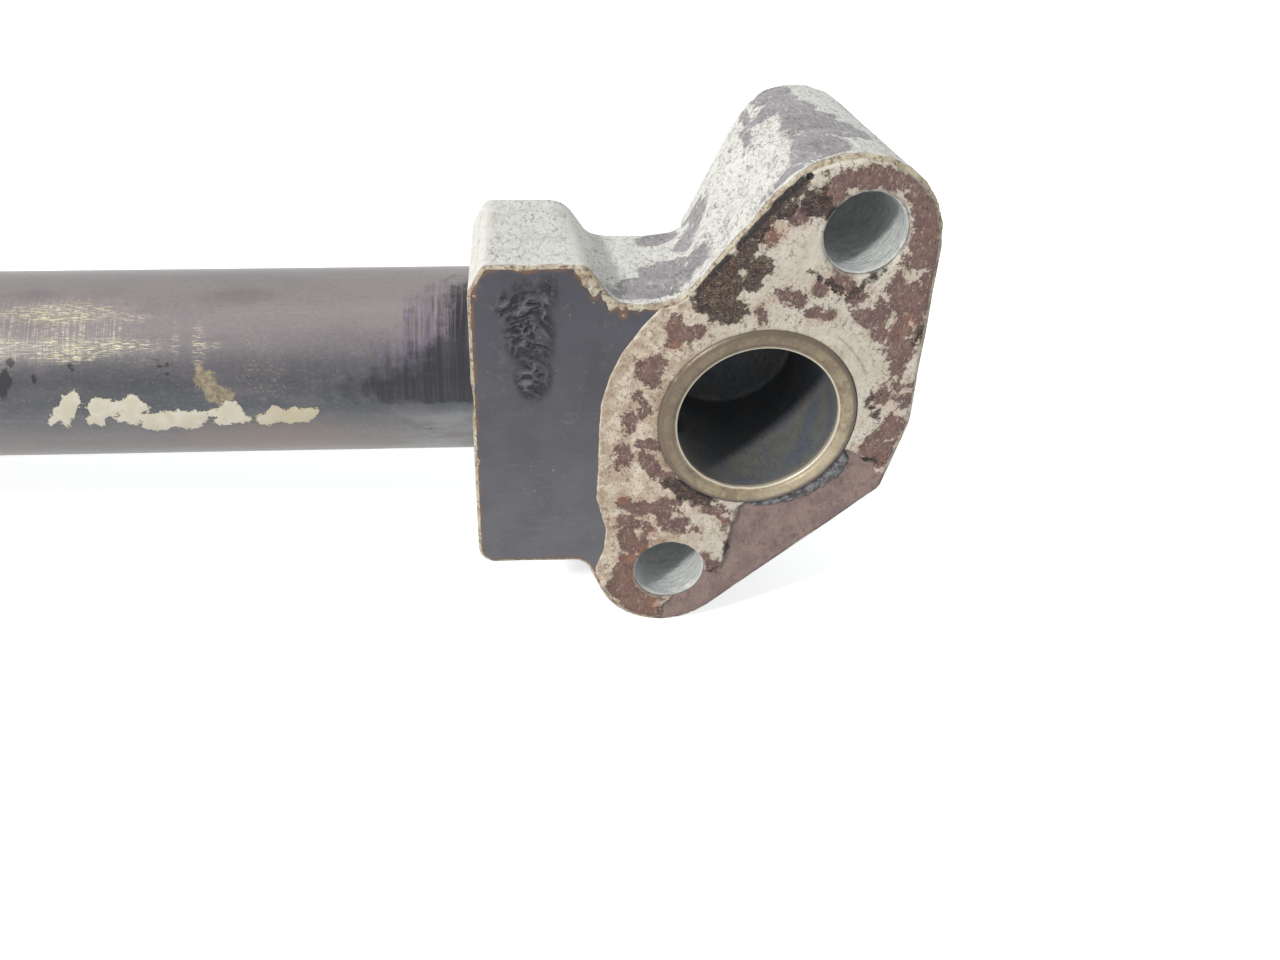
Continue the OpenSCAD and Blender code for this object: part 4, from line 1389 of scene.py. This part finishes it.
def tube_finish(look):
    """A dark film over steel, with a painted reflection in its tone round the tube: turned, scorched,
    violet, rubbed through and chipped.
    """
    f = Finish("tube_film", 0.34)
    up = (f.mark("up") + 1) * 0.5
    up = up + (f.noise((22, 6, 6), 3) - 0.5) * 0.12
    # The film's tone with painted reflection, changing round the tube as a glossy film's reflection would
    base = f.ramp(up, FILM_TONES_WITH_PAINTED_REFLECTION)
    base = f.lay(base, look.film_colour, f.noise((14, 5, 5), 4).band(0.45, 0.7), 0.25)
    # Fine marks of turning run round the tube, and drawn lines run along it
    grain = f.noise((0.7, 0.4, 0.4), 6, 0.8)
    base = f.lay(base, (172, 166, 170), grain.band(0.52, 0.64), 0.16)
    base = f.lay(base, (66, 64, 72), grain.band(0.48, 0.36), 0.2)
    clouds = f.noise((9, 3, 3), 6, 0.7, warp=0.6).band(0.5, 0.66)
    base = f.lay(base, (156, 138, 146), clouds, 0.14)
    around = f.node("CombineXYZ", X=f.mark("along"), Y=f.mark("up") * 2, Z=f.mark("out") * 2)
    rings = f.noise((0.2, 2.2, 2.2), 3, 0.6, at=around)
    lines = f.noise((6, 0.22, 0.22), 4, 0.6)
    base = f.lay(base, (170, 164, 164), rings.band(0.5, 0.75), 0.05)
    base = f.lay(base, (86, 84, 88), lines.band(0.55, 0.75), 0.14)
    base = f.lay(base, (104, 94, 98), f.ragged("smudged", 3, 1.4, 0.9), 0.4)
    streaks = f.noise((0.5, 3.2, 3.2), 6, 0.75, at=around)
    violet = f.ragged("violet", 2.4, 3.4, 1.6) * streaks.band(0.4, 0.58)
    base = f.lay(base, f.mottle((0.8, 4, 4), 0.42, 0.6, (52, 48, 62), (104, 90, 116)), violet, 0.75)
    edge = (f.mark("round") + f.noise(2, 4) * 1.2).band(0.1, 0.9)
    scorch = f.ragged("scorched", 2.6, 3.4, 1.5) * (streaks.band(0.38, 0.54) * 0.28 + 0.72)
    base = f.lay(base, (31, 30, 39), scorch * edge)
    dust = f.mark("along").band(16, 4) * f.mark("round").band(0, -3)
    base = f.lay(base, (158, 160, 162), dust * f.noise((5, 2, 2), 4).band(0.35, 0.6), 0.45)
    base = f.lay(base, (142, 122, 112), f.ragged("browned", 4, 3, 2), 0.5)
    dashes = f.noise((1.5, 0.16, 0.16), 4, 0.7).band(0.5, 0.59)
    bright = f.ragged("bright", 1.4, 0.7, 0.6) * dashes
    weave = rings.band(0.46, 0.6) * f.noise((0.9, 0.16, 0.16), 4, 0.7).band(0.44, 0.6)
    weave = f.ragged("woven", 3, 3, 1.6) * (weave * 0.7)
    dots = f.ragged("speckled", 1.6, 1, 0.9) * f.noise((0.42, 0.3, 0.3), 5, 0.75).band(0.56, 0.64)
    base = f.lay(base, (176, 168, 146), dots, 0.6)
    gold = f.mottle(0.8, 0.38, 0.62, (216, 203, 156), (240, 234, 208), detail=4)
    brass = bright.larger(weave)
    base = f.lay(base, gold, brass, 0.92)
    base = f.lay(base, (38, 36, 40), f.ragged(f.mark("specks") - 0.02, 0.6, 0.55, 0.1, 6, 0.75))
    stained = f.ragged(f.mark("stained") + 0.15, 0.9, 1, 0.18, 7, 0.75)
    stained = stained * f.noise(0.7, 5, 0.7).band(0.3, 0.42)
    yellowed = f.mottle(0.8, 0.4, 0.6, (164, 150, 120), (132, 120, 100), detail=4)
    base = f.lay(base, yellowed, stained, 0.85)
    chips = f.ragged(f.mark("chips") + 0.14, 1.2, 1.7, 0.06, 8, 0.8)
    metal = f.mottle(2.2, 0.35, 0.65, (216, 210, 194), (206, 198, 178), detail=5)
    yellow = (f.mark("along") + f.noise(3) * 6).band(37, 30)
    metal = f.lay(metal, (190, 176, 146), yellow, 0.6)
    base = f.lay(base, metal, chips)
    base = f.lay(base, (60, 56, 56), f.mark("bore"))
    f.height(rings, 0.004)
    f.height(lines, 0.01)
    f.height(f.noise(3, 3), 0.03)
    f.height(chips, 0.1)
    return f.done(base, f.node("MapRange", Value=chips.larger(brass), To_Min=0.36, To_Max=0.6))


# ---------------------------------------------------------------- stage

# In the block's plane: the camera's place, the directions of the view's right and back, and
# the direction that the window's light comes from
CAMERA_AT = (-35.7, 75.2, 125.5)
CAMERA_RIGHT = (0.999, 0.005, 0.041)
CAMERA_BACK = (-0.036, 0.558, 0.829)
CAMERA_SHIFT = (0.067, -0.0047)
WINDOW_FROM = (-0.634, 0.571, 0.521)


def seen_directly(tree):
    """1 where the camera or a reflection looks straight at something, and 0 for the light it gives."""
    rays = tree.nodes.new("ShaderNodeLightPath").outputs
    return Wire(rays["Is Camera Ray"]).larger(rays["Is Glossy Ray"]).larger(rays["Is Transmission Ray"])


def build_floor(look):
    """A wide pale floor under the object, which looks whiter than it is lit."""
    mesh = bpy.data.meshes.new("floor")
    reach = 4.0
    corners = [(x * reach, y * reach, FLOOR_Z) for x, y in ((-1, -1), (1, -1), (1, 1), (-1, 1))]
    mesh.from_pydata(corners, [], [(0, 1, 2, 3)])
    material = bpy.data.materials.new("floor_white")
    material.use_nodes = True
    tree = material.node_tree
    tree.nodes.clear()
    diffuse = add_node(tree, "ShaderNodeBsdfDiffuse", Color=(*look.floor_colour, 1))
    glow = add_node(tree, "ShaderNodeEmission", Strength=seen_directly(tree) * look.floor_lift)
    both = tree.nodes.new("ShaderNodeAddShader")
    feed(both.inputs[0], diffuse.outputs[0])
    feed(both.inputs[1], glow.outputs[0])
    add_node(tree, "ShaderNodeOutputMaterial", Surface=both.outputs[0])
    mesh.materials.append(material)
    floor = loose_object("floor", mesh)


def build_light(look):
    """Even light all round, and one soft lamp where a window would be."""
    world = bpy.data.worlds.new("white_room")
    bpy.context.scene.world = world
    world.use_nodes = True
    tree = world.node_tree
    background = tree.nodes["Background"]
    seen = seen_directly(tree)
    strength = add_node(tree, "ShaderNodeMapRange", Value=seen, To_Min=look.fill, To_Max=1.0)
    feed(background.inputs["Strength"], strength.outputs[0])
    hue = add_node(tree, "ShaderNodeMix", {"data_type": "RGBA"}, Factor=seen)
    feed(hue.inputs[6], (*look.fill_colour, 1))
    feed(hue.inputs[7], (1, 1, 1, 1))
    feed(background.inputs["Color"], hue.outputs[2])

    sun = bpy.data.lights.new("window", "SUN")
    sun.energy, sun.angle = look.sun, math.radians(look.sun_spread)
    sun.color = look.sun_colour
    lamp = loose_object("window", sun)
    lamp.rotation_mode = "QUATERNION"
    lamp.rotation_quaternion = Vector(to_row([WINDOW_FROM])[0]).to_track_quat("Z", "Y")


def build_camera(look):
    """The camera, looking a little down at the block's face."""
    camera_data = bpy.data.cameras.new("camera")
    camera_data.sensor_width, camera_data.lens = 36.0, look.lens
    camera_data.shift_x, camera_data.shift_y = CAMERA_SHIFT
    camera_data.clip_start, camera_data.clip_end = 0.005, 20
    camera = loose_object("camera", camera_data)
    at, right, back = to_row([CAMERA_AT, CAMERA_RIGHT, CAMERA_BACK])
    back /= np.linalg.norm(back)
    right -= back * (right @ back)
    right /= np.linalg.norm(right)
    rows = np.stack([right, np.cross(back, right), back, at], 1).tolist()
    camera.matrix_world = Matrix(rows + [[0, 0, 0, 1]])
    bpy.context.scene.camera = camera


# ---------------------------------------------------------------- add-on

class PipeLook(bpy.types.PropertyGroup):
    tube_segments: IntProperty(
        name="Tube segments", description="Sides round the tube", default=176, min=24, max=256)
    tube_grain: FloatProperty(
        name="Tube grain",
        description="Spacing of the tube's rings where its film has chipped, in millimetres",
        default=0.35, min=0.2, max=2)
    film_colour: FloatVectorProperty(
        name="Film", description="Colour of the dark film on the tube", subtype="COLOR", size=3,
        default=tone(112, 104, 108)[:3])


class BlockLook(bpy.types.PropertyGroup):
    grain: FloatProperty(
        name="Grain", description="Spacing of the casting's surface points, in millimetres", default=0.56,
        min=0.4, max=2)
    edge_round: FloatProperty(
        name="Edge rounding", description="Radius of the worn edges, in millimetres", default=0.42,
        min=0.3, max=1.5)
    paint_grain: FloatProperty(
        name="Paint grain", description="Spacing of the paint's surface points, in millimetres",
        default=0.24, min=0.2, max=2)
    paint_colour: FloatVectorProperty(
        name="Paint", description="Colour of the old paint", subtype="COLOR", size=3,
        default=tone(73, 73, 81)[:3])
    bare_colour: FloatVectorProperty(
        name="Bare", description="Colour of the bare, worn casting", subtype="COLOR", size=3,
        default=tone(236, 236, 231)[:3])
    stain_colour: FloatVectorProperty(
        name="Stain", description="Colour of the thin stains on the casting", subtype="COLOR", size=3,
        default=tone(154, 151, 157)[:3])


class GasketLook(bpy.types.PropertyGroup):
    gasket_grain: FloatProperty(
        name="Grain", description="Spacing of the gasket's surface points, in millimetres", default=0.3,
        min=0.2, max=2)
    gasket_thick: FloatProperty(
        name="Thickness", description="Thickness at the torn edge, in millimetres", default=0.78, min=0.2,
        max=1.2)
    crumbs: FloatProperty(
        name="Crumbs", description="Rust crumbs on a square metre of burnt gasket", default=9.0e6, min=0,
        max=2.0e7)
    fibres: FloatProperty(
        name="Fibres", description="Loose fibres on a square metre of burnt or torn gasket",
        default=2.4e6, min=0, max=2.0e7)
    eyelet_height: FloatProperty(
        name="Eyelet height", description="Height of the eyelet, in millimetres", default=1.2, min=0.8,
        max=1.2)
    gasket_colour: FloatVectorProperty(
        name="Fibre", description="Colour of the pale fibre", subtype="COLOR", size=3,
        default=tone(210, 203, 190)[:3])
    rust_colour: FloatVectorProperty(
        name="Rust", description="Colour of the rust stains", subtype="COLOR", size=3,
        default=tone(104, 74, 72)[:3])
    eyelet_colour: FloatVectorProperty(
        name="Eyelet", description="Colour of the eyelet's metal", subtype="COLOR", size=3,
        default=tone(152, 139, 114)[:3])


class StageLook(bpy.types.PropertyGroup):
    lens: FloatProperty(
        name="Lens", description="Focal length on a 36 mm sensor", default=27.7, min=10, max=200)
    fill: FloatProperty(
        name="Fill", description="Strength of the even light all round", default=0.5, min=0, max=2)
    fill_colour: FloatVectorProperty(
        name="Fill colour", description="Colour of that light", subtype="COLOR", size=3,
        default=(0.95, 0.98, 1.0))
    sun: FloatProperty(
        name="Window", description="Strength of the light from the upper left", default=2.35, min=0,
        max=10)
    sun_colour: FloatVectorProperty(
        name="Window colour", description="Colour of that light", subtype="COLOR", size=3,
        default=(1.0, 0.98, 0.94))
    sun_spread: FloatProperty(
        name="Softness", description="Width of that light, in degrees", default=7.0, min=0, max=90)
    floor_lift: FloatProperty(
        name="Floor glow", description="How much whiter the floor looks than it is lit", default=0.66,
        min=0, max=1)
    floor_colour: FloatVectorProperty(
        name="Floor", description="Colour of the floor", subtype="COLOR", size=3,
        default=(0.86, 0.86, 0.86))


class PIPE_OT_tube(bpy.types.Operator):
    """Turn the tube and give it its worn film"""
    bl_idname = "pipe.tube"
    bl_label = "Tube"

    def execute(self, context):
        build_tube(context.scene.pipe_look)
        return {"FINISHED"}


class PIPE_OT_end_block(bpy.types.Operator):
    """Cast the end block with its ears, notch and bores, and lay the old paint on its face"""
    bl_idname = "pipe.end_block"
    bl_label = "End block"

    def execute(self, context):
        build_end_block(context.scene.block_look)
        build_paint(context.scene.block_look)
        return {"FINISHED"}


class PIPE_OT_gasket(bpy.types.Operator):
    """Lay what is left of the gasket on the face, with its eyelet and sealant"""
    bl_idname = "pipe.gasket"
    bl_label = "Gasket"

    def execute(self, context):
        look = context.scene.gasket_look
        build_gasket(look)
        build_eyelet(look)
        build_seal_bead()
        return {"FINISHED"}


class PIPE_OT_stage(bpy.types.Operator):
    """Set the floor, the light and the camera"""
    bl_idname = "pipe.stage"
    bl_label = "Stage"

    def execute(self, context):
        look = context.scene.stage_look
        build_floor(look)
        build_light(look)
        build_camera(look)
        context.scene.view_settings.view_transform = "Standard"
        return {"FINISHED"}


class PIPE_PT_panel(bpy.types.Panel):
    bl_label = "Corroded pipe"
    bl_idname = "PIPE_PT_panel"
    bl_space_type = "VIEW_3D"
    bl_region_type = "UI"
    bl_category = "Pipe"

    def draw(self, context):
        for name, operator in (
                ("pipe_look", PIPE_OT_tube), ("block_look", PIPE_OT_end_block),
                ("gasket_look", PIPE_OT_gasket), ("stage_look", PIPE_OT_stage)):
            box = self.layout.box()
            look = getattr(context.scene, name)
            for key in look.bl_rna.properties.keys():
                if key not in ("rna_type", "name"):
                    box.prop(look, key)
            box.operator(operator.bl_idname)


LOOKS = {"pipe_look": PipeLook, "block_look": BlockLook, "gasket_look": GasketLook, "stage_look": StageLook}
OPERATORS = (PIPE_OT_tube, PIPE_OT_end_block, PIPE_OT_gasket, PIPE_OT_stage)


def register():
    for kind in (*LOOKS.values(), *OPERATORS, PIPE_PT_panel):
        bpy.utils.register_class(kind)
    for name, kind in LOOKS.items():
        setattr(bpy.types.Scene, name, PointerProperty(type=kind))


def unregister():
    for name in LOOKS:
        delattr(bpy.types.Scene, name)
    for kind in (PIPE_PT_panel, *OPERATORS[::-1], *LOOKS.values()):
        bpy.utils.unregister_class(kind)


def main():
    register()
    for make in (bpy.ops.pipe.stage, bpy.ops.pipe.tube, bpy.ops.pipe.end_block, bpy.ops.pipe.gasket):
        make()


if __name__ == "__main__":
    main()
